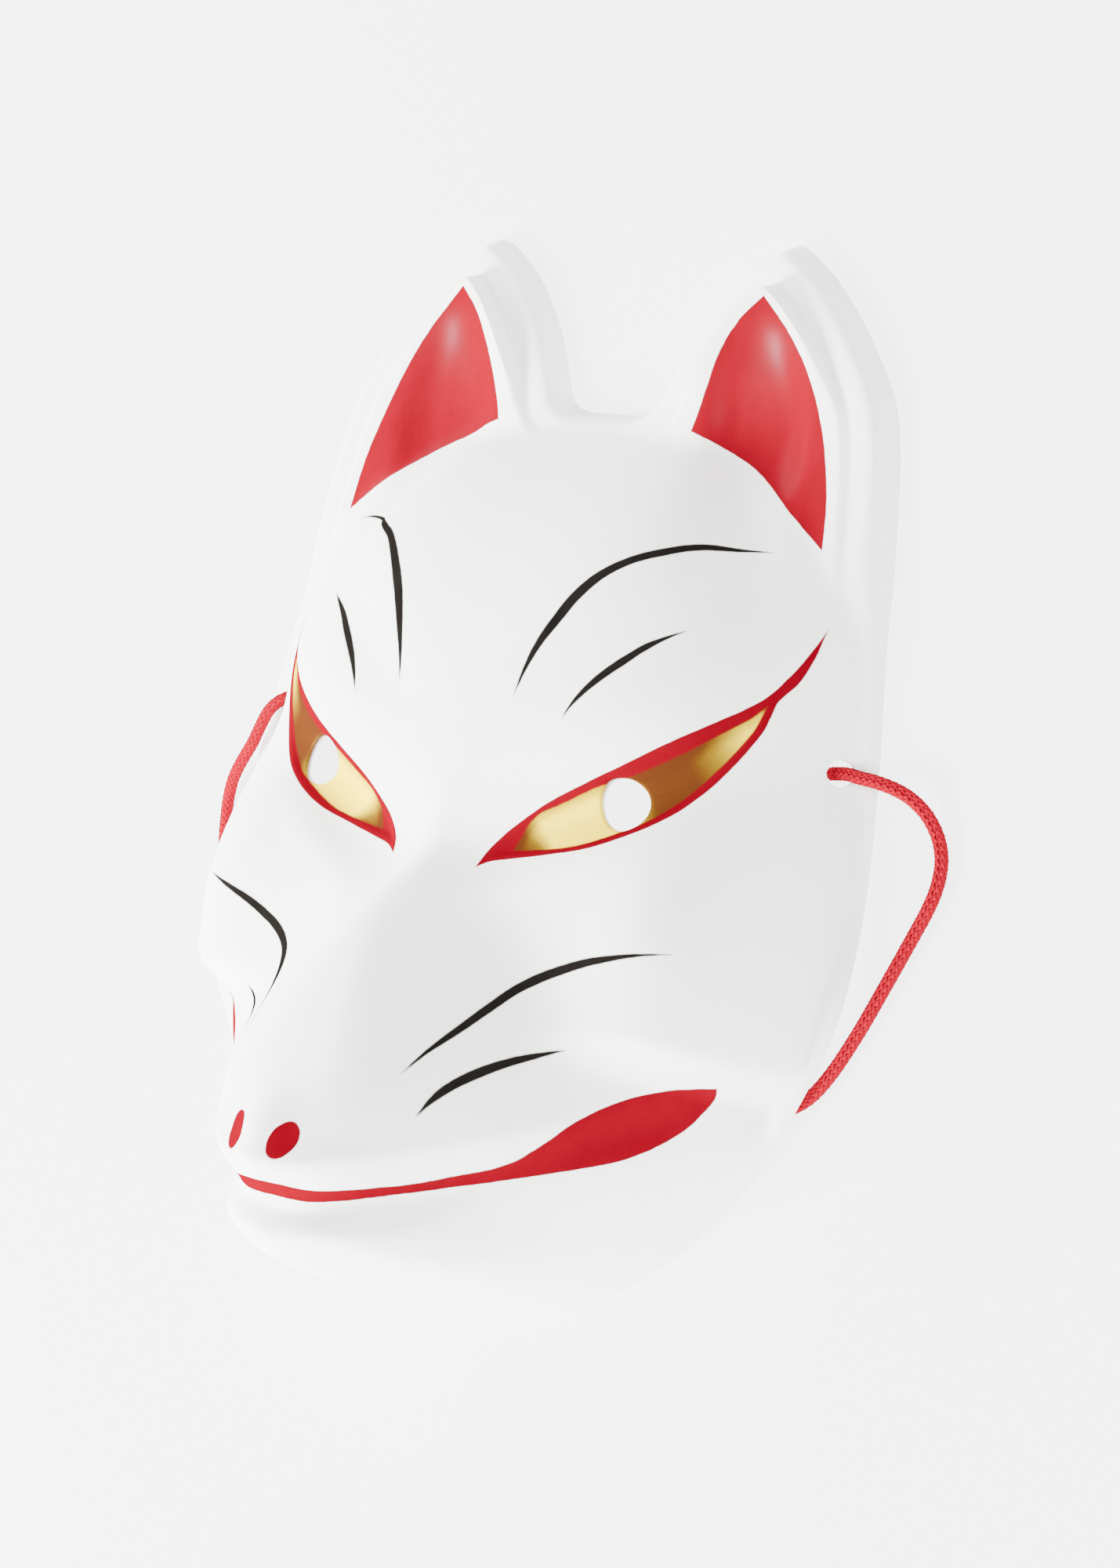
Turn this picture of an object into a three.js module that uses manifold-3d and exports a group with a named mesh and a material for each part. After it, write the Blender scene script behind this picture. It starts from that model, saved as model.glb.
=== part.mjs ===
// Fox mask: a thin moulded shell with two ears, pierced eyes and a red elastic cord.
// Millimetres, +Z up. The mask lies on its rim, face up: +Y runs from chin to ears, the nose points up.

import * as THREE from 'three';
import { mergeVertices } from 'three/addons/utils/BufferGeometryUtils.js';
import Module from 'manifold-3d';

const wasm = await Module();
wasm.setup();

// Overall sizes of the shell: its wall, the flat face of the rim and the least height over the rim
const WALL = 1.5;
const RIM_FACE = 1.8;
const BRIM_HEIGHT = 2;

// Round holes: eyes pierced straight down, cord holes square to the surface
const EYE_HOLE = { x: 41.5, y: 114, radius: 5.5, sides: 24, depth: 60 };
const CORD_HOLE = { x: 76.7, y: 128.4, radius: 2.9, sides: 16, depth: 8 };

// Forehead and face dome, a rounded oval swelling
const DOME = { height: 40, halfWidth: 80, top: 90, bottom: 118.5, y: 110, power: 3.07 };

// Muzzle: how high its ridge stands on the dome, how wide it is at brow, middle and jaw, and how full
const MUZZLE = {
  height: 54, startY: -8, endY: 127, brow: 8, middle: 29, jaw: 24, round: 0.4, power: 2.03, browPower: 1.2,
};
const MUZZLE_WIDENS = { middleY: 36, browY: 102.5, jawY: 20, jawEndY: 50 };
const NOSE = { x: 0, y: 35, along: 7, across: 9.5, height: 4.1, turn: 0 };

// Cheekbone: full from the eye down, then a quick fall to the corner of the mouth
const CHEEK = { height: 15.5, x: 68, width: 22.5, lowY: 56.5, fullY: 69, fadeY: 74, endY: 142 };

// Forms beside the eye, each an oval swelling or hollow turned in degrees
const SOCKET = { x: 31.5, y: 108.5, along: 41, across: 13, height: -8.5, turn: 19 };
const FOREHEAD = { x: 33.5, y: 144.5, along: 31, across: 8, height: -2, turn: 38.5 };
const TEMPLE = { x: 47, y: 175.5, along: 21.5, across: 7, height: -4.7, turn: -60 };
const LID = { x: 36, y: 98.5, along: 22, across: 5, height: 1.4, turn: 32 };

// Ear: a shelf along its edge, a step up to the border and a shallow dish inside, higher towards the tip
const EAR = { startY: 146, fullY: 176, floor: 2.4, shelf: 6.4, border: 7.6 };
const EAR_STEP = { start: 8.9, end: 10.9 };
const EAR_LIFT = { height: 5.5, startY: 192, endY: 226, x: 30, fall: 40 };
const EAR_DISH = { x: 42.4, y: 197.3, along: 23.3, across: 11.2, height: -3.6, turn: -85, power: 2.2 };

// Lips: a full upper lip, and under the mouth line a hollow that turns into the leaf of the corner
const MOUTH = { middleY: 25.2, cornerX: 69.5, cornerY: 60.5, power: 1.75, fade: 16 };
const UNDER_LIP = { depth: 7, leafDepth: 2.5, offset: 4, leafOffset: -0.6, width: 4.5 };
const UPPER_LIP = { offset: 4.2, width: 3.2, height: 1.65 };
const LEAF = { start: 14, full: 42 };

// Side wall: its steepness at the cheeks, the chin and the ears, and the shallow arch of the rim
const SIDE_WALL = { cheek: 1.62, chin: 7, ear: 2, earStartY: 165, earFullY: 195, blend: 5 };
const RIM_ARCH = { height: 4.1, y: 71.5, halfLength: 40.5, flare: 0.66, flareStart: 20, flareFull: 60 };
const FORM_BLEND = 2.5;

// Mesh: spacing along the rim, the rings inside it, the mouth lines and the field
const SPACING = { rim: 3.6, ring: 4.2, grid: 5.5, line: 3.4 };
const RINGS = [
  { inset: 1.9, fromY: 0, spacing: SPACING.rim, gap: 1.5 },
  { inset: 4.6, fromY: 0, spacing: SPACING.ring, gap: 2.4 },
  { inset: EAR_STEP.start, fromY: EAR.startY, spacing: SPACING.rim, gap: 1.8 },
  { inset: EAR_STEP.end, fromY: EAR.startY, spacing: SPACING.rim, gap: 1.8 },
];
const MOUTH_LINES = [0, 4.2, -4, 8];
const MOUTH_LINE_GAP = 2.2;
const HOLE_EDGE = 0.9;

// Half outline in plan, from the chin up the right side to the top edge between the ears
const OUTLINE = [
  [0, 0], [19.8, 4], [37.9, 11], [55.1, 23.4], [69.1, 39.9], [77.9, 57.5],
  [83.8, 75], [86.1, 94], [85.7, 112], [83.6, 132], [80.4, 155], [78.3, 176],
  [73.3, 203], [64, 219], [53.7, 231], [46.7, 236.8], [41, 240], [35, 237.3],
  [27.5, 230.8], [20.5, 221.5], [15.3, 211.5], [12, 203.8], [7.5, 201.4], [0, 201.2],
];

// Cord: diameter, and its route from the right hole over the ground and under the shell to the left hole
const CORD_DIAMETER = 3;
const CORD_SIDES = 8;
const CORD_STEPS = 78;
const CORD_ROUTE = [
  [73.6, 128.2, 2.75], [77.2, 128.4, 4.0], [79.6, 128.3, 4.95], [82.4, 127.9, 5.7], [85.8, 127.6, 6.1],
  [88.9, 127.1, 6.0], [91.7, 126.4, 5.5], [94.3, 125.3, 4.6], [97.0, 123.3, 3.3], [99.2, 120.7, 2.25],
  [101.1, 117.4, 1.65], [102.3, 113.4, 1.55], [102.3, 108.8, 1.55], [101.1, 103.8, 1.55],
  [98.5, 97.0, 1.55], [94.4, 86.8, 1.55], [90.1, 76.5, 1.55], [85.2, 66.9, 1.55], [80.3, 60.9, 1.55],
  [73.6, 57.9, 1.55], [62.4, 57.6, 1.55], [42.5, 56.0, 1.55], [0, 52.2, 1.55], [-42.0, 54.6, 1.55],
  [-60.0, 59.0, 1.55], [-73.0, 64.6, 1.55], [-82.6, 72.8, 1.55], [-87.6, 83.0, 1.55],
  [-89.6, 91.0, 1.55], [-90.8, 98.2, 1.55], [-91.0, 103.0, 1.8], [-89.9, 107.0, 2.8],
  [-88.0, 110.3, 3.9], [-85.6, 113.5, 4.9], [-83.3, 117.1, 5.5], [-81.7, 120.9, 5.8],
  [-80.2, 124.7, 5.65], [-78.3, 127.4, 4.8], [-76.0, 128.9, 3.65], [-73.6, 129.7, 2.75],
];

// Knots inside the shell, each beside its end of the cord
const KNOT = { away: 4.4, z: 4, radius: 3.7, length: 0.95, waist: 0.12, rings: 9, sides: 14 };

const SHELL_LOOK = { color: 0xf1eeec, roughness: 0.38, metalness: 0 };
const CORD_LOOK = { color: 0xd0202a, roughness: 0.75, metalness: 0 };

const clamp01 = (value) => Math.min(1, Math.max(0, value));

// Smooth rise from 0 to 1 between two places
function rise(from, to, value) {
  const t = clamp01((value - from) / (to - from));
  return t * t * t * (t * (6 * t - 15) + 10);
}

function bell(distance, width) {
  return Math.exp(-((distance / width) ** 2));
}

const between = (share, low, high) => low + (high - low) * share;

function oval(form, x, y) {
  const turn = (form.turn * Math.PI) / 180;
  const along = ((x - form.x) * Math.cos(turn) + (y - form.y) * Math.sin(turn)) / form.along;
  const across = ((y - form.y) * Math.cos(turn) - (x - form.x) * Math.sin(turn)) / form.across;
  return form.height * Math.exp(-((along * along + across * across) ** (form.power ?? 1)));
}

// A form on the right side together with its mirror image
function both(form, x, y) {
  return oval(form, x, y) + oval(form, -x, y);
}

// Height of the rim above the ground at a place along the mask
function rimHeight(y) {
  const t = clamp01(Math.abs(y - RIM_ARCH.y) / RIM_ARCH.halfLength);
  return RIM_ARCH.height * (1 - rise(0, 1, t));
}

function outlineCurve() {
  const mirror = OUTLINE.slice(1, -1).reverse().map(([x, y]) => [-x, y]);
  const loop = [...OUTLINE, ...mirror].map(([x, y]) => new THREE.Vector3(x, y, 0));
  return new THREE.CatmullRomCurve3(loop, true, 'catmullrom', 0.5);
}

// The right half of the outline as closely spaced points, flared where the rim arches up
function halfOutline(stepsPerSpan) {
  const curve = outlineCurve();
  const spans = OUTLINE.length - 1;
  const total = 2 * spans;
  const points = [];
  for (let i = 0; i <= spans * stepsPerSpan; i += 1) {
    const p = curve.getPoint(i / (total * stepsPerSpan));
    const lift = rimHeight(p.y) * RIM_ARCH.flare * rise(RIM_ARCH.flareStart, RIM_ARCH.flareFull, p.x);
    points.push(new THREE.Vector2(Math.max(0, p.x) + lift, p.y));
  }
  points[0].x = 0;
  points[points.length - 1].x = 0;
  return points;
}

const EDGE = halfOutline(10);

// Distance to the outline, positive inside, and how far the outline faces down towards the chin there
function edgeDistance(x, y) {
  let best = Infinity;
  let down = 0;
  let inside = false;
  for (let i = 0; i + 1 < EDGE.length; i += 1) {
    const a = EDGE[i];
    const b = EDGE[i + 1];
    const dx = b.x - a.x;
    const dy = b.y - a.y;
    const t = clamp01(((x - a.x) * dx + (y - a.y) * dy) / (dx * dx + dy * dy));
    const distance = Math.hypot(x - a.x - t * dx, y - a.y - t * dy);
    if (distance < best) {
      best = distance;
      down = dx / Math.hypot(dx, dy);
    }
    if ((a.y > y) !== (b.y > y) && x < a.x + (dx * (y - a.y)) / dy) {
      inside = !inside;
    }
  }
  return { depth: inside ? best : -best, down: clamp01(down) };
}

// The mouth line in plan: down at the nose, sweeping up to the corner in the cheek
function mouthY(x) {
  const t = clamp01(Math.abs(x) / MOUTH.cornerX);
  return MOUTH.middleY + (MOUTH.cornerY - MOUTH.middleY) * t ** MOUTH.power;
}

function mouthSlope(x) {
  const t = clamp01(Math.abs(x) / MOUTH.cornerX);
  return ((MOUTH.cornerY - MOUTH.middleY) * MOUTH.power * t ** (MOUTH.power - 1)) / MOUTH.cornerX;
}

function lips(x, y) {
  const above = (y - mouthY(x)) / Math.hypot(1, mouthSlope(x));
  const fade = 1 - rise(MOUTH.cornerX - MOUTH.fade, MOUTH.cornerX, Math.abs(x));
  const leaf = rise(LEAF.start, LEAF.full, Math.abs(x));
  const depth = between(leaf, UNDER_LIP.depth, UNDER_LIP.leafDepth);
  const offset = between(leaf, UNDER_LIP.offset, UNDER_LIP.leafOffset);
  const lip = UPPER_LIP.height * bell(above - UPPER_LIP.offset, UPPER_LIP.width);
  return fade * (lip - depth * bell(above + offset, UNDER_LIP.width));
}

function muzzle(x, y) {
  const t = clamp01((y - MUZZLE.startY) / (MUZZLE.endY - MUZZLE.startY));
  const ridge = MUZZLE.height * (1 - t * t * (3 - 2 * t));
  const low = 1 - rise(MUZZLE_WIDENS.middleY, MUZZLE_WIDENS.browY, y);
  const jaw = 1 - rise(MUZZLE_WIDENS.jawY, MUZZLE_WIDENS.jawEndY, y);
  const width = between(low, MUZZLE.brow, MUZZLE.middle) + (MUZZLE.jaw - MUZZLE.middle) * jaw;
  const side = Math.hypot(x / width, MUZZLE.round) - MUZZLE.round;
  return ridge * Math.exp(-(side ** between(low, MUZZLE.browPower, MUZZLE.power)));
}

function dome(x, y) {
  const reach = y > DOME.y ? DOME.top : DOME.bottom;
  const across = (Math.abs(x) / DOME.halfWidth) ** DOME.power;
  const along = (Math.abs(y - DOME.y) / reach) ** DOME.power;
  return DOME.height * (1 - across - along);
}

function cheek(x, y) {
  const along = rise(CHEEK.lowY, CHEEK.fullY, y) * (1 - rise(CHEEK.fadeY, CHEEK.endY, y));
  const across = bell(x - CHEEK.x, CHEEK.width) + bell(x + CHEEK.x, CHEEK.width);
  return CHEEK.height * along * across;
}

function earPlate(x, depth, y) {
  const lean = 1 - (Math.abs(x) - EAR_LIFT.x) / EAR_LIFT.fall;
  const border = EAR.border + EAR_LIFT.height * rise(EAR_LIFT.startY, EAR_LIFT.endY, y) * lean;
  const plate = between(rise(EAR_STEP.start, EAR_STEP.end, depth), EAR.shelf, border) + both(EAR_DISH, x, y);
  return between(rise(EAR.startY, EAR.fullY, y), EAR.floor, plate);
}

function smoothMax(a, b, blend) {
  return 0.5 * (a + b + Math.hypot(a - b, blend));
}

function face(x, y) {
  let height = dome(x, y) + muzzle(x, y) + cheek(x, y) + lips(x, y) + oval(NOSE, x, y);
  for (const form of [SOCKET, FOREHEAD, TEMPLE, LID]) {
    height += both(form, x, y);
  }
  return height;
}

// Outer surface: face and ears, rounded over into the side wall that ends at the rim
function outerHeight(x, y, edge) {
  const base = rimHeight(y);
  const form = smoothMax(face(x, y), earPlate(x, edge.depth, y), FORM_BLEND);
  const top = Math.max(BRIM_HEIGHT, form - base);
  const facing = between(edge.down ** 4, SIDE_WALL.cheek, SIDE_WALL.chin);
  const steepness = between(rise(SIDE_WALL.earStartY, SIDE_WALL.earFullY, y), facing, SIDE_WALL.ear);
  const wall = steepness * edge.depth;
  if (wall < 0.001) {
    return base;
  }
  return base + (top ** -SIDE_WALL.blend + wall ** -SIDE_WALL.blend) ** (-1 / SIDE_WALL.blend);
}

const surface = (x, y) => outerHeight(x, y, edgeDistance(Math.abs(x), y));

function outerNormal(x, y) {
  const step = 1.2;
  const slopeX = (surface(x + step, y) - surface(x - step, y)) / (2 * step);
  const slopeY = (surface(x, y + step) - surface(x, y - step)) / (2 * step);
  return new THREE.Vector3(-slopeX, -slopeY, 1).normalize();
}

// Points along a line at even spacing
function evenly(line, spacing) {
  const lengths = [0];
  for (let i = 1; i < line.length; i += 1) {
    lengths.push(lengths[i - 1] + line[i].distanceTo(line[i - 1]));
  }
  const total = lengths[lengths.length - 1];
  const count = Math.max(1, Math.round(total / spacing));
  const points = [];
  let k = 1;
  for (let i = 0; i <= count; i += 1) {
    const target = (total * i) / count;
    while (k < line.length - 1 && lengths[k] < target) {
      k += 1;
    }
    const t = (target - lengths[k - 1]) / (lengths[k] - lengths[k - 1]);
    points.push(line[k - 1].clone().lerp(line[k], t));
  }
  return points;
}

// Outward direction of the outline at one of its points
function edgeDirection(i) {
  if (i === 0 || i === EDGE.length - 1) {
    return new THREE.Vector2(0, i === 0 ? -1 : 1);
  }
  const along = EDGE[i + 1].clone().sub(EDGE[i - 1]).normalize();
  return new THREE.Vector2(along.y, -along.x);
}

// The outline moved inwards, without the places where it would cross itself
function insetRing(inset, spacing) {
  const ring = [];
  for (let i = 0; i < EDGE.length; i += 1) {
    const outward = edgeDirection(i);
    const p = EDGE[i].clone().addScaledVector(outward, -inset);
    if (p.x >= 0 && edgeDistance(p.x, p.y).depth > inset * 0.97) {
      ring.push(p);
    }
  }
  return evenly(ring, spacing);
}

// The mouth line moved up or down by an offset, ending short of the corner
function mouthLine(offset, spacing) {
  const line = [];
  const shortOfCorner = 6;
  for (let x = 0; x <= MOUTH.cornerX - shortOfCorner; x += 1) {
    const slope = mouthSlope(x);
    const size = Math.hypot(1, slope);
    line.push(new THREE.Vector2(x - (offset * slope) / size, mouthY(x) + offset / size));
  }
  line[0].x = 0;
  return evenly(line, spacing);
}

// Points round the edge of a hole, so that the surface is true there
function holeRing(hole, beyond) {
  const points = [];
  const count = hole.sides * 0.75;
  for (let i = 0; i < count; i += 1) {
    const angle = (i / count) * 2 * Math.PI;
    const away = new THREE.Vector2(Math.cos(angle), Math.sin(angle)).multiplyScalar(hole.radius + beyond);
    points.push(away.add(new THREE.Vector2(hole.x, hole.y)));
  }
  return points;
}

// Rows of points in a triangular pattern, the first of them on the middle line
function fieldPoints(spacing) {
  const row = spacing * 0.87;
  const points = [];
  for (let y = 2; y < 238; y += row) {
    points.push(new THREE.Vector2(0, y));
  }
  let odd = false;
  for (let y = 2; y < 238; y += row) {
    for (let x = odd ? spacing / 2 : spacing; x < 90; x += spacing) {
      points.push(new THREE.Vector2(x, y));
    }
    odd = !odd;
  }
  return points;
}

// Right half of the plan as points: rim first, then relief lines, then the field
function planPoints() {
  const points = evenly(EDGE, SPACING.rim).map((p) => ({ p, rim: true }));
  points[0].p.x = 0;
  points[points.length - 1].p.x = 0;
  const add = (p, gap) => {
    const snapped = p.x < gap * 0.5 ? new THREE.Vector2(0, p.y) : p;
    const clear = edgeDistance(snapped.x + 1e-6, snapped.y).depth >= 1.2;
    if (clear && points.every((q) => q.p.distanceTo(snapped) > gap)) {
      points.push({ p: snapped, rim: false });
    }
  };
  for (const beyond of [HOLE_EDGE, -HOLE_EDGE]) {
    holeRing(EYE_HOLE, beyond).forEach((p) => add(p, HOLE_EDGE));
    holeRing(CORD_HOLE, beyond).forEach((p) => add(p, HOLE_EDGE));
  }
  for (const { inset, fromY, spacing, gap } of RINGS) {
    insetRing(inset, spacing).filter((p) => p.y >= fromY).forEach((p) => add(p, gap));
  }
  for (const offset of MOUTH_LINES) {
    mouthLine(offset, SPACING.line).forEach((p) => add(p, MOUTH_LINE_GAP));
  }
  fieldPoints(SPACING.grid).forEach((p) => add(p, SPACING.grid * (p.x === 0 ? 0.5 : 0.62)));
  return points;
}

// Circle through three points, for the triangulation
function circle(a, b, c) {
  const ab = { x: b.x - a.x, y: b.y - a.y };
  const ac = { x: c.x - a.x, y: c.y - a.y };
  const twice = 2 * (ab.x * ac.y - ab.y * ac.x);
  const lengthB = ab.x * ab.x + ab.y * ab.y;
  const lengthC = ac.x * ac.x + ac.y * ac.y;
  const x = (ac.y * lengthB - ab.y * lengthC) / twice;
  const y = (ab.x * lengthC - ac.x * lengthB) / twice;
  return { x: a.x + x, y: a.y + y, square: x * x + y * y };
}

// Triangles in which no circle holds another point, added one point at a time
function triangulate(points) {
  const far = 5000;
  const around = [[-far, -far], [far, -far], [0, far]].map((p) => new THREE.Vector2(...p));
  const all = [...points, ...around];
  const n = points.length;
  const make = (i, j, k) => ({ corners: [i, j, k], round: circle(all[i], all[j], all[k]) });
  let triangles = [make(n, n + 1, n + 2)];
  for (let i = 0; i < n; i += 1) {
    const p = all[i];
    const open = new Map();
    const kept = [];
    for (const triangle of triangles) {
      const { round, corners } = triangle;
      if ((p.x - round.x) ** 2 + (p.y - round.y) ** 2 < round.square - 1e-7) {
        for (let e = 0; e < 3; e += 1) {
          const from = corners[e];
          const to = corners[(e + 1) % 3];
          if (!open.delete(`${to},${from}`)) {
            open.set(`${from},${to}`, [from, to]);
          }
        }
      } else {
        kept.push(triangle);
      }
    }
    for (const [from, to] of open.values()) {
      kept.push(make(from, to, i));
    }
    triangles = kept;
  }
  return triangles.map((t) => t.corners).filter((t) => t.every((i) => i < n));
}

function insideTriangles(points, triangles) {
  return triangles.filter((t) => {
    const x = (points[t[0]].x + points[t[1]].x + points[t[2]].x) / 3;
    const y = (points[t[0]].y + points[t[1]].y + points[t[2]].y) / 3;
    return edgeDistance(x, y).depth > 0.02;
  });
}

// Outward direction of the outline at its nearest point
function edgeNormal(p) {
  let nearest = 0;
  for (let i = 1; i < EDGE.length; i += 1) {
    if (EDGE[i].distanceTo(p) < EDGE[nearest].distanceTo(p)) {
      nearest = i;
    }
  }
  return edgeDirection(nearest);
}

// Inner vertex under an outer one: along the normal, or along the ground at the rim
function innerPoint(outer, rim) {
  if (rim) {
    const outward = edgeNormal(new THREE.Vector2(outer.x, outer.y));
    return outer.clone().addScaledVector(new THREE.Vector3(outward.x, outward.y, 0), -RIM_FACE);
  }
  return outer.clone().addScaledVector(outerNormal(outer.x, outer.y), -WALL);
}

function shellGeometry() {
  const plan = planPoints();
  const flat = plan.map((q) => q.p);
  const half = insideTriangles(flat, triangulate(flat));
  const positions = [];
  const add = (v) => positions.push(v.x, v.y, v.z) / 3 - 1;
  const right = [];
  const left = [];
  for (const { p, rim } of plan) {
    const outer = new THREE.Vector3(p.x, p.y, rim ? rimHeight(p.y) : surface(p.x, p.y));
    const inner = innerPoint(outer, rim);
    if (p.x === 0) {
      inner.x = 0;
    }
    const flip = (v) => new THREE.Vector3(-v.x, v.y, v.z);
    right.push({ outer: add(outer), inner: add(inner) });
    const shared = right[right.length - 1];
    left.push(p.x === 0 ? shared : { outer: add(flip(outer)), inner: add(flip(inner)) });
  }
  const faces = [];
  for (const [a, b, c] of half) {
    faces.push(right[a].outer, right[b].outer, right[c].outer);
    faces.push(right[a].inner, right[c].inner, right[b].inner);
    faces.push(left[a].outer, left[c].outer, left[b].outer);
    faces.push(left[a].inner, left[b].inner, left[c].inner);
  }
  const rimCount = plan.filter((q) => q.rim).length;
  for (let i = 0; i + 1 < rimCount; i += 1) {
    const j = i + 1;
    faces.push(right[i].outer, right[i].inner, right[j].outer);
    faces.push(right[j].outer, right[i].inner, right[j].inner);
    faces.push(left[j].outer, left[i].inner, left[i].outer);
    faces.push(left[j].outer, left[j].inner, left[i].inner);
  }
  const geometry = new THREE.BufferGeometry();
  geometry.setAttribute('position', new THREE.Float32BufferAttribute(positions, 3));
  geometry.setIndex(faces);
  return geometry;
}

function toSolid(geometry) {
  const bare = geometry.clone();
  bare.deleteAttribute('normal');
  bare.deleteAttribute('uv');
  const merged = mergeVertices(bare, 1e-5);
  const mesh = new wasm.Mesh({
    numProp: 3,
    vertProperties: new Float32Array(merged.attributes.position.array),
    triVerts: new Uint32Array(merged.index.array),
  });
  return new wasm.Manifold(mesh);
}

function fromSolid(solid) {
  const mesh = solid.getMesh();
  const geometry = new THREE.BufferGeometry();
  geometry.setAttribute('position', new THREE.BufferAttribute(new Float32Array(mesh.vertProperties), 3));
  geometry.setIndex(new THREE.BufferAttribute(new Uint32Array(mesh.triVerts), 1));
  return geometry;
}

// A straight punch for a hole, centred on a place and pointing along a direction
function punch(hole, centre, direction) {
  const geometry = new THREE.CylinderGeometry(hole.radius, hole.radius, hole.depth, hole.sides);
  const turn = new THREE.Quaternion().setFromUnitVectors(new THREE.Vector3(0, 1, 0), direction);
  geometry.applyQuaternion(turn);
  geometry.translate(centre.x, centre.y, centre.z);
  return toSolid(geometry);
}

function maskShell() {
  let solid = toSolid(shellGeometry());
  const normal = outerNormal(CORD_HOLE.x, CORD_HOLE.y);
  for (const side of [1, -1]) {
    const eye = new THREE.Vector3(side * EYE_HOLE.x, EYE_HOLE.y, surface(EYE_HOLE.x, EYE_HOLE.y));
    solid = solid.subtract(punch(EYE_HOLE, eye, new THREE.Vector3(0, 0, 1)));
    const place = new THREE.Vector3(side * CORD_HOLE.x, CORD_HOLE.y, surface(CORD_HOLE.x, CORD_HOLE.y));
    solid = solid.subtract(punch(CORD_HOLE, place, new THREE.Vector3(side * normal.x, normal.y, normal.z)));
  }
  return fromSolid(solid);
}

function cordRoute() {
  return new THREE.CatmullRomCurve3(CORD_ROUTE.map((p) => new THREE.Vector3(...p)));
}

function elasticCord() {
  const radius = CORD_DIAMETER / 2;
  const corners = [];
  for (let i = 0; i < CORD_SIDES; i += 1) {
    const angle = ((i + 0.5) / CORD_SIDES) * 2 * Math.PI;
    corners.push(new THREE.Vector2(radius * Math.cos(angle), radius * Math.sin(angle)));
  }
  const section = new THREE.Shape(corners);
  return new THREE.ExtrudeGeometry(section, { steps: CORD_STEPS, extrudePath: cordRoute() });
}

// A pulled-tight overhand knot: a rounded lump with a waist, beside one end of the cord
function knot([endX, endY]) {
  const profile = [];
  for (let i = 0; i <= KNOT.rings; i += 1) {
    const angle = -Math.PI / 2 + (Math.PI * i) / KNOT.rings;
    const lobe = (1 + KNOT.waist * Math.cos(4 * angle)) / (1 + KNOT.waist);
    const closed = i === 0 || i === KNOT.rings;
    const radius = closed ? 0 : KNOT.radius * lobe * Math.cos(angle);
    profile.push(new THREE.Vector2(radius, KNOT.radius * KNOT.length * Math.sin(angle)));
  }
  const geometry = new THREE.LatheGeometry(profile, KNOT.sides);
  geometry.rotateZ(-Math.PI / 2);
  geometry.translate(endX - Math.sign(endX) * KNOT.away, endY, KNOT.z);
  return geometry;
}

// The frame's origin is on the ground under the middle of the shell
const centreY = (Math.max(...EDGE.map((p) => p.y)) + Math.min(...EDGE.map((p) => p.y))) / 2;

function piece(name, geometry, look) {
  geometry.computeVertexNormals();
  const mesh = new THREE.Mesh(geometry, new THREE.MeshStandardMaterial(look));
  mesh.name = name;
  mesh.position.set(0, -centreY, 0);
  return mesh;
}

const mask = new THREE.Group();
mask.add(piece('mask_shell', maskShell(), SHELL_LOOK));
mask.add(piece('elastic_cord', elasticCord(), CORD_LOOK));
mask.add(piece('cord_knot_right', knot(CORD_ROUTE[0]), CORD_LOOK));
mask.add(piece('cord_knot_left', knot(CORD_ROUTE[CORD_ROUTE.length - 1]), CORD_LOOK));

export default mask;
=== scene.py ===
"""Fox mask: a painted moulded shell with a braided elastic cord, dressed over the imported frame.

Lengths named in millimetres are measured in plan, x from the middle and y from the chin.
"""

import math

import bpy
import numpy as np
from bpy.props import FloatProperty, FloatVectorProperty, IntProperty, PointerProperty
from mathutils import Matrix, Vector, geometry


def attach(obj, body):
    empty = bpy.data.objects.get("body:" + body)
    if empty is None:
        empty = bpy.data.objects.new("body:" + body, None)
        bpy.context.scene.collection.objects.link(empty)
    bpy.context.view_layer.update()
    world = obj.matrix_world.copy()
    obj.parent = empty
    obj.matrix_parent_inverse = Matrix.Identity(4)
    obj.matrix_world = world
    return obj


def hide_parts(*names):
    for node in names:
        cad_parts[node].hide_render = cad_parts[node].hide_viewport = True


bl_info = {
    "name": "Fox mask",
    "version": (1, 0, 0),
    "blender": (4, 5, 0),
    "location": "3D View > Sidebar > Fox mask",
    "description": "Builds a painted fox mask, its elastic cord and a plain studio stage",
    "category": "Object",
}

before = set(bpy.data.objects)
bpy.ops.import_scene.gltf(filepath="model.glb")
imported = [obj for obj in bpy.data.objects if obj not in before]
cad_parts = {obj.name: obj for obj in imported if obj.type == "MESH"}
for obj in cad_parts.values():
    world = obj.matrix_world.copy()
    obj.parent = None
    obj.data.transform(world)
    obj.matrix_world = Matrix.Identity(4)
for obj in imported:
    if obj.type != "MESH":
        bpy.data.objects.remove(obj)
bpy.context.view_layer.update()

MM = 0.001
MID_Y = 120.0

# Form of the shell
OUTLINE = [
    (0, 0), (19.8, 4), (37.9, 11), (55.1, 23.4), (69.1, 39.9), (77.9, 57.5), (83.8, 75), (86.1, 94),
    (85.7, 112), (83.6, 132), (80.4, 155), (78.3, 176), (73.3, 203), (64, 219), (53.7, 231),
    (46.7, 236.8), (41, 240), (35, 237.3), (27.5, 230.8), (20.5, 221.5), (15.3, 211.5),
    (12, 203.8), (7.5, 201.4), (0, 201.2),
]
DOME = {"height": 40, "half_width": 80, "top": 90, "bottom": 118.5, "y": 110, "power": 3.07}
MUZZLE = {
    "height": 54, "start": -8, "end": 127, "brow": 8, "middle": 29, "jaw": 24, "round": 0.4,
    "power": 2.03, "brow_power": 1.2, "narrows": (36, 102.5), "jaw_ends": (20, 50),
}
NOSE = {"x": 0, "y": 35, "along": 7, "across": 9.5, "height": 4.1, "turn": 0}
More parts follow.
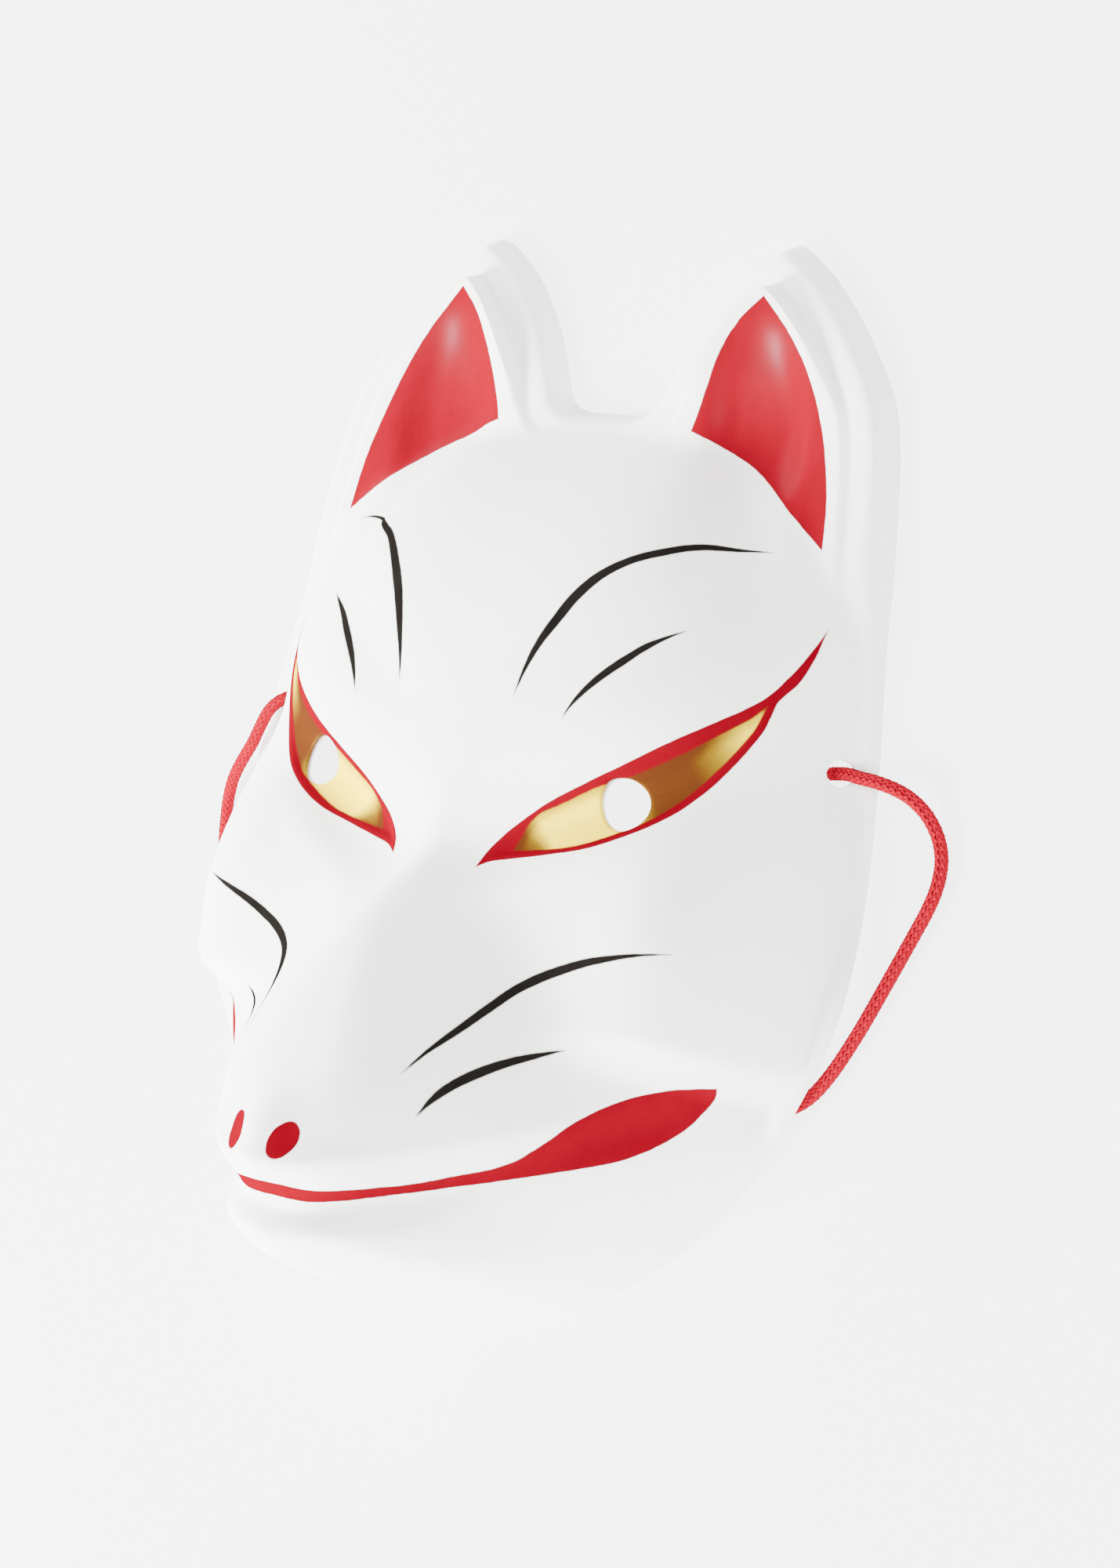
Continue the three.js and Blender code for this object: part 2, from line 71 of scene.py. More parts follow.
CHEEK = {"height": 15.5, "x": 68, "width": 22.5, "low": 56.5, "full": 69, "fade": 74, "end": 142}
SOCKET = {"x": 31.5, "y": 108.5, "along": 41, "across": 13, "height": -8.5, "turn": 19}
FOREHEAD = {"x": 33.5, "y": 144.5, "along": 31, "across": 8, "height": -2, "turn": 38.5}
TEMPLE = {"x": 47, "y": 175.5, "along": 21.5, "across": 7, "height": -4.7, "turn": -60}
LID = {"x": 36, "y": 98.5, "along": 22, "across": 5, "height": 1.4, "turn": 32}
EAR = {"start": 146, "full": 176, "floor": 2.4, "shelf": 6.4, "border": 7.6}
EAR_STEP = (8.9, 10.9)
EAR_LIFT = {"height": 5.5, "start": 192, "end": 226, "x": 30, "fall": 40}
EAR_DISH = {"x": 42.4, "y": 197.3, "along": 23.3, "across": 11.2, "height": -3.6, "turn": -85, "power": 2.2}
MOUTH = {"middle": 25.2, "corner_x": 69.5, "corner_y": 60.5, "power": 1.75, "fade": 16}
UNDER_LIP = {"depth": 7, "leaf_depth": 2.5, "offset": 4, "leaf_offset": -0.6, "width": 4.5}
UPPER_LIP = {"offset": 4.2, "width": 3.2, "height": 1.65}
LEAF = (14, 42)
SIDE = {"cheek": 1.62, "chin": 7, "chin_power": 4, "ear": 2, "ear_starts": (165, 195), "blend": 5}
ARCH = {"height": 4.1, "y": 71.5, "half_length": 40.5, "flare": 0.66, "flare_starts": (20, 60)}
FORM_BLEND = 2.5
EYE_BED = {"depth": 0.7, "start": 0.4, "width": 1.9}
RIM_FACE = 1.8
BRIM_HEIGHT = 2
RIM_ROUND = 0.45
RIM_BEVEL = 0.25
RIM_STEPS = 6
EYE_HOLE = {"x": 41.5, "y": 114, "radius": 5.5, "sides": 56}
CORD_HOLE = {"x": 76.7, "y": 128.4, "radius": 2.9, "sides": 40}
HOLE_RINGS = (0, 0.12, 0.28, 0.55, 1.0)
HOLE_CLEAR = 0.35
HOLE_EDGE = {"fall": 0.16, "width": 0.4}
HOLE_FIT = {"passes": 25, "share": 0.6}

# Spread of the mesh points: rings inside the outline, first and last inset and step, then a field of rows
PLAN_REACH = {"x": 90, "y": 240}
RING_BANDS = ((0.6, 9.9, 0.5), (10.2, 15.5, 0.75))
OUTLINE_STEP = 0.6

# Shares: row distance and free strip at the middle by spacing, inset kept by inset asked, x just inside
ROW_SHARE = math.sqrt(0.75)
SEAM_CLEAR = 0.45
LEAST_INSET = 0.985
JUST_INSIDE = 0.9999

# Where the field is fine, and other settings of the mesh
MOUTH_DETAIL = {"above": (-6, 9), "x": 64}
EYE_DETAIL = {"outside": 2.5, "inside": 4, "y": (90, 162)}
SHARP_ANGLE = 50
ON_SEAM = 1e-6
LINE_STEPS = 12
ROUTE_STEPS = 16

# Painted edges, from the middle outwards or from the ear's foot to its tip
EYE_UPPER = [
    (11.2, 96.1), (12.6, 100), (14.9, 103.2), (17.6, 106), (25.1, 112), (33.8, 117.4),
    (42.1, 122.5), (49.3, 127.6), (56, 132.7), (61.4, 137.4), (64.7, 141.4), (67.4, 147.4),
    (69, 152.6), (70.1, 157.5),
]
EYE_LOWER = [
    (11.2, 96.1), (14.1, 97.9), (18.2, 99), (27.5, 101.3), (36.9, 103.9), (45.3, 108),
    (52.1, 112.9), (57.3, 119.1), (61.5, 126.1), (64.6, 132.8), (65.6, 136.9), (66.2, 140.3),
    (68.4, 144.8), (69.6, 150.4), (70.1, 157.5),
]
GOLD_UPPER = [
    (17.9, 101), (20, 105.8), (23.3, 109.4), (28.1, 112.2), (35.9, 116.8), (43.1, 120.3),
    (50.5, 125), (57.3, 130.7), (62.4, 135.7), (64.5, 138.6),
]
GOLD_LOWER = [
    (17.9, 101), (22.5, 101.7), (28.2, 102.8), (34.2, 104.5), (41.3, 107.8), (47.3, 111.3),
    (53.6, 117.4), (59, 125.2), (62.8, 132.6), (64.5, 138.6),
]
EAR_INNER = [
    (26.4, 196.6), (29.4, 206.8), (32.2, 214.2), (36.1, 220.8), (41.1, 226),
]
EAR_OUTER = [
    (65, 173.3), (63.5, 184.8), (59.8, 197.7), (54.4, 209.5), (48.6, 217.9), (41.1, 226),
]
EAR_FOOT = [
    (26.4, 196.6), (32.9, 194.3), (42.1, 190.3), (48.7, 186), (57.4, 179.3), (65, 173.3),
]
MOUTH_UPPER = [
    (0, 26), (4.6, 26), (10.6, 26), (16.4, 27.5), (23.2, 30.2), (29.8, 33.7), (37.1, 37.8),
    (42.8, 43.4), (47.3, 48.9), (51.8, 53.3), (56.8, 56.7), (62.2, 59), (68.4, 60.6),
]
MOUTH_LOWER = [
    (0, 23.2), (4.6, 23.1), (9.1, 23.4), (15.4, 25.2), (22.3, 28.2), (29.1, 31.3), (35.7, 34.1),
    (42.4, 37.1), (47.4, 39.4), (52.5, 41.9), (57.5, 45.4), (62.4, 50.3), (65.1, 54.3),
    (68.4, 60.6),
]

# Painted reflection and shade on the gold: its brightness along the eye stands in for reflections, and it is
# painted darker at its upper edge as shade; then how fast a stroke ends past its last point
GOLD_PAINTED_REFLECTION = [
    (0, 0.1), (0.08, 0.3), (0.2, 1), (0.45, 0.95), (0.53, 0.5), (0.58, 0.05), (0.68, 0.05), (0.77, 0.5),
    (0.85, 1), (0.94, 1), (1, 0.4),
]
GOLD_EDGE_SHADE = {"shade": 0.3, "width": 1.4}
STROKE_TAPER = 3

# Brush strokes: x, y and half the width
BROW_LONG = [
    (15.6, 132.6, 0.05), (17, 138.6, 0.51), (19, 144.5, 0.92), (21.6, 150.1, 1.23),
    (24.2, 155.7, 1.32), (27.8, 160.7, 1.19), (32.6, 164.6, 1.02), (38.1, 167.4, 0.97),
    (43.7, 170, 0.83), (49.9, 170.9, 0.4), (56, 171.4, 0.05),
]
BROW_LONG_LEFT = [
    (15.6, 132.6, 0.05), (17, 138.2, 0.51), (18.9, 143.6, 0.92), (21.4, 149.3, 1.23),
    (24.7, 154.8, 1.32), (29.2, 160.5, 1.15), (34.1, 165.2, 0.95), (38.3, 167.4, 0.85),
    (42.6, 169.1, 0.7), (47.6, 170.5, 0.5), (52.8, 171.4, 0.35), (57.6, 171, 0.05),
]
BROW_SHORT = [
    (28.2, 129.2, 0.05), (30, 133.1, 0.49), (32.4, 136.8, 0.82), (35.1, 140.1, 0.99),
    (38.1, 143.3, 1.01), (41.1, 146.4, 0.84), (44.5, 149.1, 0.49), (48.1, 151.5, 0.05),
]
WHISKER_LONG = [
    (21.7, 52.1, 0.05), (23.6, 57.5, 0.45), (25.9, 62.7, 0.79), (28.5, 67.9, 0.99),
    (31.7, 72.6, 1.07), (36.2, 76.1, 1.1), (41.3, 78.7, 1.03), (46.6, 80.9, 0.9),
    (52, 82.6, 0.67), (57.5, 84.2, 0.35), (63.1, 85.5, 0.05),
]
WHISKER_SHORT = [
    (26.1, 44.5, 0.05), (27.4, 48.1, 0.55), (29.1, 51.5, 0.92), (31.4, 54.6, 1.03),
    (34.1, 57.3, 0.98), (37.2, 59.5, 0.77), (40.6, 61.3, 0.43), (44.1, 62.7, 0.05),
]
NOSTRIL = {"x": 6.3, "y": 35, "along": 4.1, "across": 2.6, "turn": 76}

# Route of the cord in metres, from the knot at the right to the knot at the left
CORD_ROUTE = [
    (0.0736, 0.0082, 0.00275), (0.0772, 0.0084, 0.004), (0.0796, 0.0083, 0.00495),
    (0.0824, 0.0079, 0.0057), (0.0858, 0.0076, 0.0061), (0.0889, 0.0071, 0.006),
    (0.0917, 0.0064, 0.0055), (0.0943, 0.0053, 0.0046), (0.097, 0.0033, 0.0033),
    (0.0992, 0.0007, 0.00225), (0.1011, -0.0026, 0.00165), (0.1023, -0.0066, 0.00155),
    (0.1023, -0.0112, 0.00155), (0.1011, -0.0162, 0.00155), (0.0985, -0.0230, 0.00155),
    (0.0944, -0.0332, 0.00155), (0.0901, -0.0435, 0.00155), (0.0852, -0.0531, 0.00155),
    (0.0803, -0.0591, 0.00155), (0.0736, -0.0621, 0.00155), (0.0624, -0.0624, 0.00155),
    (0.0425, -0.0640, 0.00155), (0, -0.0678, 0.00155), (-0.042, -0.0654, 0.00155),
    (-0.06, -0.0610, 0.00155), (-0.073, -0.0554, 0.00155), (-0.0826, -0.0472, 0.00155),
    (-0.0876, -0.0370, 0.00155), (-0.0896, -0.0290, 0.00155), (-0.0908, -0.0218, 0.00155),
    (-0.091, -0.0170, 0.0018), (-0.0899, -0.0130, 0.0028), (-0.088, -0.0097, 0.0039),
    (-0.0856, -0.0065, 0.0049), (-0.0833, -0.0029, 0.0055), (-0.0817, 0.0009, 0.0058),
    (-0.0802, 0.0047, 0.00565), (-0.0783, 0.0074, 0.0048), (-0.076, 0.0089, 0.00365),
    (-0.0736, 0.0097, 0.00275),
]
KNOT = {
    "away": 4.4, "z": 4.0, "ring": 1.85, "loop": 0.9, "thickness": 1.85, "strands": 12,
    "start": 0.35, "end": 2 * math.pi - 0.55, "points": 90,
}
ROUTE_STEP = 0.001

# Noise patterns of the materials, their scale in waves per metre, and what each has if it doesn't say
PLAIN_PATTERN = {"detail": 2, "roughness": 0.5, "offset": (0, 0, 0), "stretch": (1, 1, 1)}
PATTERNS = {
    "wobble": {"scale": 420},
    "brush": {"scale": 260, "detail": 4, "roughness": 0.6, "stretch": (1, 0.35, 1)},
    "grain": {"scale": 1500, "roughness": 0.6},
    "fine": {"scale": 700},
    "specks": {"scale": 900, "detail": 1, "offset": (0.3, 0.1, 0)},
    "tarnish": {"scale": 120, "detail": 3, "offset": (0.05, 0, 0)},
    "clouds": {"scale": 22, "detail": 3},
    "waves": {"scale": 160},
    "fuzz": {"scale": 2600, "detail": 3, "roughness": 0.7},
    "yarn": {"scale": 90, "detail": 1},
    "floor": {"scale": 2.5},
}

# Darker and lighter tint, as shares of the colour
WHITE_TINTS = (0.975, 1)
RED_TINTS = (0.68, 0.92)
# Ears: the red is painted lighter than elsewhere, a painted sheen
EAR_SHEEN_TINTS = (0.85, 1.18)
INK_TINTS = (1, 2.4)
YARN_TINTS = (0.78, 1.12)
FUZZ_TINT = 1.25
FLOOR_TINTS = (0.99, 1)

# Paint: how far an edge strays in millimetres and the share of it at each mark, how much softer the edge
# of some marks is, the specks in the ears, and how the gold is tarnished
WOBBLE = {"reach": 0.3, "eye": 0.5, "gold": 0.8, "mouth": 0.7, "ink": 0.6}
SOFTER = {"gold": 2, "ink": 1.8}
SPECKS = {"level": 0.735, "steep": 40, "share": 0.6, "colour": (0.12, 0.005, 0.01)}
TARNISH = {"clouds": 0.5, "grain": 0.3, "middle": 0.4, "share": 0.25}

# Surface of the shell and its paint, and then of the yarn
ROUGHNESS = {"white": (0.30, 0.36), "red": 0.36, "gold": 0.34, "grain": 0.1, "inside": 0.5}
RELIEF = {"waves": 0.35, "fine": 0.06, "red": 0.12, "ink": 0.05, "gold": 0.25}
COAT = {"plain": 0.12, "ear": 0.35, "roughness": 0.25}
GOLD_METAL = 0.22
YARN_TWIST = {"around": 25.1, "along": 9000, "relief": 0.35}
YARN_FUZZ = {"colour": 0.5, "roughness": 0.25, "relief": 0.8}

# Camera: its lens, its place, then the directions of its right, up and back
CAMERA_LENS = 75.6
CAMERA_PLACE = (0.4376, -0.0371, 0.5755)
CAMERA_AXES = ((0.7901, 0.1823, -0.5853), (-0.1168, 0.9820, 0.1482), (0.6018, -0.0488, 0.7972))

# Floor in metres: how far it reaches from the middle, and how far it lies under the rim
FLOOR = {"reach": 3.0, "drop": 0.0002}

# Soft lamps: place in metres, diameter, strength as a share, and whether the gloss shows them
LAMPS = (
    {"name": "key_light", "place": (-0.78, -0.70, 0.77), "size": 0.55, "share": 1.0, "mirrored": True},
    {"name": "left_light", "place": (-1.10, 0.65, 0.26), "size": 0.9, "share": 0.72, "mirrored": False},
    {"name": "right_light", "place": (0.96, -0.16, 1.28), "size": 1.2, "share": 0.62, "mirrored": False},
    {"name": "chin_light", "place": (0.13, -1.30, 0.13), "size": 0.6, "share": 0.4, "mirrored": False},
)


class FoxMaskShell(bpy.types.PropertyGroup):
    """Sizes of the moulded shell"""

    wall: FloatProperty(
        name="Wall", description="Thickness of the moulded wall",
        default=0.0015, min=0.0008, max=0.004, unit="LENGTH", precision=4,
    )
    fine: FloatProperty(
        name="Fine spacing", description="Distance between mesh points at lips, eyes and ears",
        default=0.0007, min=0.0004, max=0.003, unit="LENGTH", precision=4,
    )


class FoxMaskPaint(bpy.types.PropertyGroup):
    """Colours of the shell and its painted marks"""

    white: FloatVectorProperty(
        name="White", description="Colour of the moulded plastic",
        default=(0.83, 0.82, 0.80), min=0, max=1, subtype="COLOR",
    )
    red: FloatVectorProperty(
        name="Red", description="Red of ears, eyes, nostrils and mouth",
        default=(0.155, 0.0005, 0.0065), min=0, max=1, subtype="COLOR",
    )
    gold: FloatVectorProperty(
        name="Gold", description="Gold of the eyes",
        default=(0.95, 0.7, 0.008), min=0, max=1, subtype="COLOR",
    )
    # Dark gold where the eyes carry painted reflection and shade
    gold_painted_dark: FloatVectorProperty(
        name="Gold shade", description="Gold of the eyes where it is dark",
        default=(0.075, 0.021, 0.006), min=0, max=1, subtype="COLOR",
    )
    ink: FloatVectorProperty(
        name="Ink", description="Grey-black of brows and whiskers",
        default=(0.0042, 0.0036, 0.0031), min=0, max=1, subtype="COLOR",
    )
    edge: FloatProperty(
        name="Paint edge", description="Width over which a painted edge fades",
        default=0.00018, min=0.00005, max=0.001, unit="LENGTH", precision=5,
    )


class FoxMaskCord(bpy.types.PropertyGroup):
    """Sizes and colour of the elastic cord"""

    diameter: FloatProperty(
        name="Diameter", description="Outer diameter of the braided cord",
        default=0.003, min=0.002, max=0.005, unit="LENGTH", precision=4,
    )
    strands: IntProperty(
        name="Strands", description="Strands in the braid, half of them running each way",
        default=16, min=8, max=24,
    )
    pitch: FloatProperty(
        name="Pitch", description="Length in which a strand runs once round the cord",
        default=0.013, min=0.006, max=0.03, unit="LENGTH", precision=4,
    )
    colour: FloatVectorProperty(
        name="Colour", description="Colour of the braided yarn",
        default=(0.25, 0.003, 0.012), min=0, max=1, subtype="COLOR",
    )


class FoxMaskStage(bpy.types.PropertyGroup):
    """Light and floor of the studio"""

    key: FloatProperty(
        name="Lamps", description="Strength of the large soft key light, which the others follow",
        default=120, min=0, unit="POWER",
    )
    fill: FloatProperty(
        name="Surrounding light", description="Strength of the even light all round", default=0.7, min=0,
    )
    floor: FloatVectorProperty(
        name="Floor", description="Colour of the floor",
        default=(0.30, 0.30, 0.30), min=0, max=1, subtype="COLOR",
    )
    glow: FloatProperty(
        name="Floor glow", description="Light that the floor gives off itself, as a light table does",
        default=3.8, min=0,
    )


# Small shapes of numbers
def rise(start, end, value):
    t = np.clip((np.asarray(value, float) - start) / (end - start), 0, 1)
    return t * t * t * (t * (6 * t - 15) + 10)


def bell(distance, width):
    return np.exp(-((distance / width) ** 2))


def within(value, low, high):
    return (value > low) & (value < high)


def between(share, low, high):
    """Number, or socket, between low and high"""
    return low + (high - low) * share


def oval_place(form, x, y):
    """Place in an oval along its two axes, each 1 at its edge"""
    turn = math.radians(form["turn"])
    dx, dy = x - form["x"], y - form["y"]
    u = (dx * math.cos(turn) + dy * math.sin(turn)) / form["along"]
    v = (dy * math.cos(turn) - dx * math.sin(turn)) / form["across"]
    return u, v


def oval(form, x, y):
    u, v = oval_place(form, x, y)
    return form["height"] * np.exp(-((u * u + v * v) ** form.get("power", 1)))


def both(form, x, y):
    return oval(form, x, y) + oval(form, -x, y)


def curve_between(before, points, after, steps):
    """Even curve through the points, which leaves and ends as if it ran on to before and after"""
    p = np.vstack([before, points, after])
    line = []
    for a, b, c, d in zip(p[:-3], p[1:-2], p[2:-1], p[3:]):
        for t in np.arange(steps) / steps:
            line.append(0.5 * (2 * b + (c - a) * t + (2 * a - 5 * b + 4 * c - d) * t**2
                               + (3 * b - a - 3 * c + d) * t**3))
    line.append(p[-2])
    return np.array(line)


def smooth_line(points, steps=LINE_STEPS):
    """Curve through the points, with any further columns blended along it"""
    p = np.array(points, float)
    return curve_between(2 * p[0] - p[1], p, 2 * p[-1] - p[-2], steps)


def beside(x, y, line, reach=12.0):
    """Signed distance from the line, left of it positive, and the place along it in points"""
    start = line[0] + (line[0] - line[1]) * reach / np.hypot(*(line[0] - line[1])[:2])
    end = line[-1] + (line[-1] - line[-2]) * reach / np.hypot(*(line[-1] - line[-2])[:2])
    whole = np.vstack([start, line, end])[:, :2]
    best = np.full(x.shape, np.inf)
    across = np.zeros(x.shape)
    along = np.zeros(x.shape)
    for i, (a, b) in enumerate(zip(whole[:-1], whole[1:])):
        run = b - a
        size = np.hypot(*run)
        t = np.clip(((x - a[0]) * run[0] + (y - a[1]) * run[1]) / size**2, 0, 1)
        away = np.hypot(x - a[0] - t * run[0], y - a[1] - t * run[1])
        side = run[0] * (y - a[1]) - run[1] * (x - a[0])
        nearer = away < best
        best = np.where(nearer, away, best)
        across = np.where(nearer, np.where(side > 0, away, -away), across)
        along = np.where(nearer, i - 1 + t, along)
    return across, along


# Surface of the shell
def rim_height(y):
    return ARCH["height"] * (1 - rise(0, 1, np.abs(y - ARCH["y"]) / ARCH["half_length"]))


def outline_curve(steps=10):
    """Right half of the outline, flared where the rim arches over the cord"""
    p = np.array(OUTLINE, float)
    line = curve_between(p[1] * (-1, 1), p, p[-2] * (-1, 1), steps)
    line[:, 0] = np.maximum(line[:, 0], 0)
    line[:, 0] += rim_height(line[:, 1]) * ARCH["flare"] * rise(*ARCH["flare_starts"], line[:, 0])
    line[0, 0] = line[-1, 0] = 0
    return line


EDGE = outline_curve()
EYE_UPPER_LINE = smooth_line(EYE_UPPER)
EYE_LOWER_LINE = smooth_line(EYE_LOWER)


def edge_distance(x, y):
    """Depth inside the outline, and how far its nearest stretch faces down"""
    x, y = np.abs(x), np.asarray(y, float)
    best = np.full(x.shape, np.inf)
    down = np.zeros(x.shape)
    inside = np.zeros(x.shape, bool)
    for a, b in zip(EDGE[:-1], EDGE[1:]):
        run = b - a
        t = np.clip(((x - a[0]) * run[0] + (y - a[1]) * run[1]) / (run @ run), 0, 1)
        away = np.hypot(x - a[0] - t * run[0], y - a[1] - t * run[1])
        down = np.where(away < best, run[0] / np.hypot(*run), down)
        best = np.minimum(best, away)
        if run[1]:
            crossed = x < a[0] + run[0] * (y - a[1]) / run[1]
            inside ^= ((a[1] > y) != (b[1] > y)) & crossed
    return np.where(inside, best, -best), np.clip(down, 0, 1)


def mouth_y(x):
    t = np.clip(np.abs(x) / MOUTH["corner_x"], 0, 1)
    return MOUTH["middle"] + (MOUTH["corner_y"] - MOUTH["middle"]) * t ** MOUTH["power"]


def above_mouth(x, y):
    t = np.clip(np.abs(x) / MOUTH["corner_x"], 0, 1)
    lift = (MOUTH["corner_y"] - MOUTH["middle"]) * MOUTH["power"] / MOUTH["corner_x"]
    return (y - mouth_y(x)) / np.hypot(1, lift * t ** (MOUTH["power"] - 1))


def lips(x, y):
    """A full upper lip, and under the mouth line a hollow that turns into the leaf of the corner"""
    above = above_mouth(x, y)
    leaf = rise(*LEAF, np.abs(x))
    depth = between(leaf, UNDER_LIP["depth"], UNDER_LIP["leaf_depth"])
    offset = between(leaf, UNDER_LIP["offset"], UNDER_LIP["leaf_offset"])
    hollow = depth * bell(above + offset, UNDER_LIP["width"])
    lip = UPPER_LIP["height"] * bell(above - UPPER_LIP["offset"], UPPER_LIP["width"])
    return (lip - hollow) * (1 - rise(MOUTH["corner_x"] - MOUTH["fade"], MOUTH["corner_x"], np.abs(x)))


def muzzle(x, y):
    t = np.clip((y - MUZZLE["start"]) / (MUZZLE["end"] - MUZZLE["start"]), 0, 1)
    ridge = MUZZLE["height"] * (1 - t * t * (3 - 2 * t))
    low = 1 - rise(*MUZZLE["narrows"], y)
    width = between(low, MUZZLE["brow"], MUZZLE["middle"])
    width = width + (MUZZLE["jaw"] - MUZZLE["middle"]) * (1 - rise(*MUZZLE["jaw_ends"], y))
    power = between(low, MUZZLE["brow_power"], MUZZLE["power"])
    return ridge * np.exp(-((np.hypot(x / width, MUZZLE["round"]) - MUZZLE["round"]) ** power))


def dome(x, y):
    reach = np.where(y > DOME["y"], DOME["top"], DOME["bottom"])
    across = (np.abs(x) / DOME["half_width"]) ** DOME["power"]
    return DOME["height"] * (1 - across - (np.abs(y - DOME["y"]) / reach) ** DOME["power"])


def cheek(x, y):
    along = rise(CHEEK["low"], CHEEK["full"], y) * (1 - rise(CHEEK["fade"], CHEEK["end"], y))
    across = bell(x - CHEEK["x"], CHEEK["width"]) + bell(x + CHEEK["x"], CHEEK["width"])
    return CHEEK["height"] * along * across


def ear_plate(x, depth, y):
    """Outer shelf, a step up to the border and the dish inside it, higher towards the inner tip"""
    lean = 1 - (np.abs(x) - EAR_LIFT["x"]) / EAR_LIFT["fall"]
    border = EAR["border"] + EAR_LIFT["height"] * rise(EAR_LIFT["start"], EAR_LIFT["end"], y) * lean
    plate = between(rise(*EAR_STEP, depth), EAR["shelf"], border) + both(EAR_DISH, x, y)
    return between(rise(EAR["start"], EAR["full"], y), EAR["floor"], plate)


def smooth_max(a, b, blend):
    return 0.5 * (a + b + np.hypot(a - b, blend))


def face(x, y):
    ovals = sum(both(form, x, y) for form in (SOCKET, FOREHEAD, TEMPLE, LID)) + oval(NOSE, x, y)
    return dome(x, y) + muzzle(x, y) + cheek(x, y) + lips(x, y) + ovals


def steepness(y, down):
    """How steeply the side wall climbs, by the height on the face and how far the outline faces down"""
    ear = rise(*SIDE["ear_starts"], y)
    face_side = between(down ** SIDE["chin_power"], SIDE["cheek"], SIDE["chin"])
    return face_side * (1 - ear) + SIDE["ear"] * ear


def height(x, y):
    """Outer surface over the floor, in millimetres"""
    depth, down = edge_distance(x, y)
    base = rim_height(y)
    top = np.maximum(BRIM_HEIGHT, smooth_max(face(x, y), ear_plate(x, depth, y), FORM_BLEND) - base)
    wall = np.maximum(steepness(y, down) * depth, 1e-3)
    blend = SIDE["blend"]
    return base + (top**-blend + wall**-blend) ** (-1 / blend)


def normal(x, y, step=0.5):
    slope_x = (height(x + step, y) - height(x - step, y)) / (2 * step)
    slope_y = (height(x, y + step) - height(x, y - step)) / (2 * step)
    found = np.stack([-slope_x, -slope_y, np.ones_like(slope_x)], axis=-1)
    return found / np.linalg.norm(found, axis=-1, keepdims=True)


def eye_bed(x, y):
    """The painted eye lies in a shallow bed"""
    upper = -beside(np.abs(x), y, EYE_UPPER_LINE)[0]
    lower = beside(np.abs(x), y, EYE_LOWER_LINE)[0]
    return -EYE_BED["depth"] * rise(0, EYE_BED["width"], np.minimum(upper, lower) - EYE_BED["start"])


# Points and faces of the shell
def even_points(line, spacing):
    lengths = np.concatenate([[0], np.cumsum(np.hypot(*np.diff(line[:, :2], axis=0).T))])
    count = max(1, round(lengths[-1] / spacing))
    at = np.linspace(0, lengths[-1], count + 1)
    return np.stack([np.interp(at, lengths, column) for column in line.T], axis=1)


def edge_directions(line):
    """Outward direction of the outline at each of its points"""
    run = np.gradient(line, axis=0)
    run /= np.linalg.norm(run, axis=1, keepdims=True)
    outward = np.stack([run[:, 1], -run[:, 0]], axis=1)
    outward[0] = (0, -1)
    outward[-1] = (0, 1)
    return outward


def inset_ring(inset, spacing):
    line = even_points(EDGE, OUTLINE_STEP)
    moved = line - edge_directions(line) * inset
    depth = edge_distance(moved[:, 0], moved[:, 1])[0]
    moved = moved[(moved[:, 0] >= 0) & (depth > inset * LEAST_INSET)]
    return even_points(moved, spacing) if len(moved) > 3 else moved


def hole_frame(hole, along_z):
    centre = np.array([hole["x"], hole["y"], float(height(hole["x"], hole["y"]))])
    axis = np.array([0, 0, 1.0]) if along_z else normal(hole["x"], hole["y"])
    across = np.cross([0, 1.0, 0], axis)
    across /= np.linalg.norm(across)
    return centre, axis, across, np.cross(axis, across)


def hole_ring(hole, place, extra):
    """Plan points of a ring round a hole, where a tube along its axis meets the surface"""
    centre, axis, across, over = place
    turn = np.arange(hole["sides"]) * 2 * math.pi / hole["sides"]
    radius = hole["radius"] + extra
    ring = centre + radius * (np.cos(turn)[:, None] * across + np.sin(turn)[:, None] * over)
    for _ in range(HOLE_FIT["passes"]):
        gap = height(ring[:, 0], ring[:, 1]) - ring[:, 2]
        ring = ring + HOLE_FIT["share"] * gap[:, None] * axis * axis[2]
    return ring[:, :2]


def hole_distance(place, x, y, z):
    centre, axis, _, _ = place
    away = np.stack([x, y, z], axis=-1) - centre
    return np.linalg.norm(away - (away @ axis)[:, None] * axis, axis=-1)


def detailed(x, y):
    """Where the field of points is fine: along the mouth and round the eye"""
    above = above_mouth(x, y)
    mouth = within(above, *MOUTH_DETAIL["above"]) & (x < MOUTH_DETAIL["x"])
    upper = beside(x, y, EYE_UPPER_LINE)[0]
    lower = beside(x, y, EYE_LOWER_LINE)[0]
    eye = within(np.minimum(-upper, lower), -EYE_DETAIL["outside"], EYE_DETAIL["inside"])
    return mouth | (eye & within(y, *EYE_DETAIL["y"]))


def field_points(fine):
    """Rows of points over the right half; the third column marks those that stay in smooth places"""
    row = fine * ROW_SHARE
    field = []
    for k in range(int(PLAN_REACH["y"] / row)):
        xs = np.arange(0.5 * (k % 2) * fine, PLAN_REACH["x"], fine)
        coarse = (k % 2 == 0) & ((np.arange(len(xs)) + (k // 2)) % 2 == 0)
        field.append(np.stack([xs, np.full(len(xs), (k + 1) * row), coarse + 0 * xs], axis=1))
    return np.vstack(field)


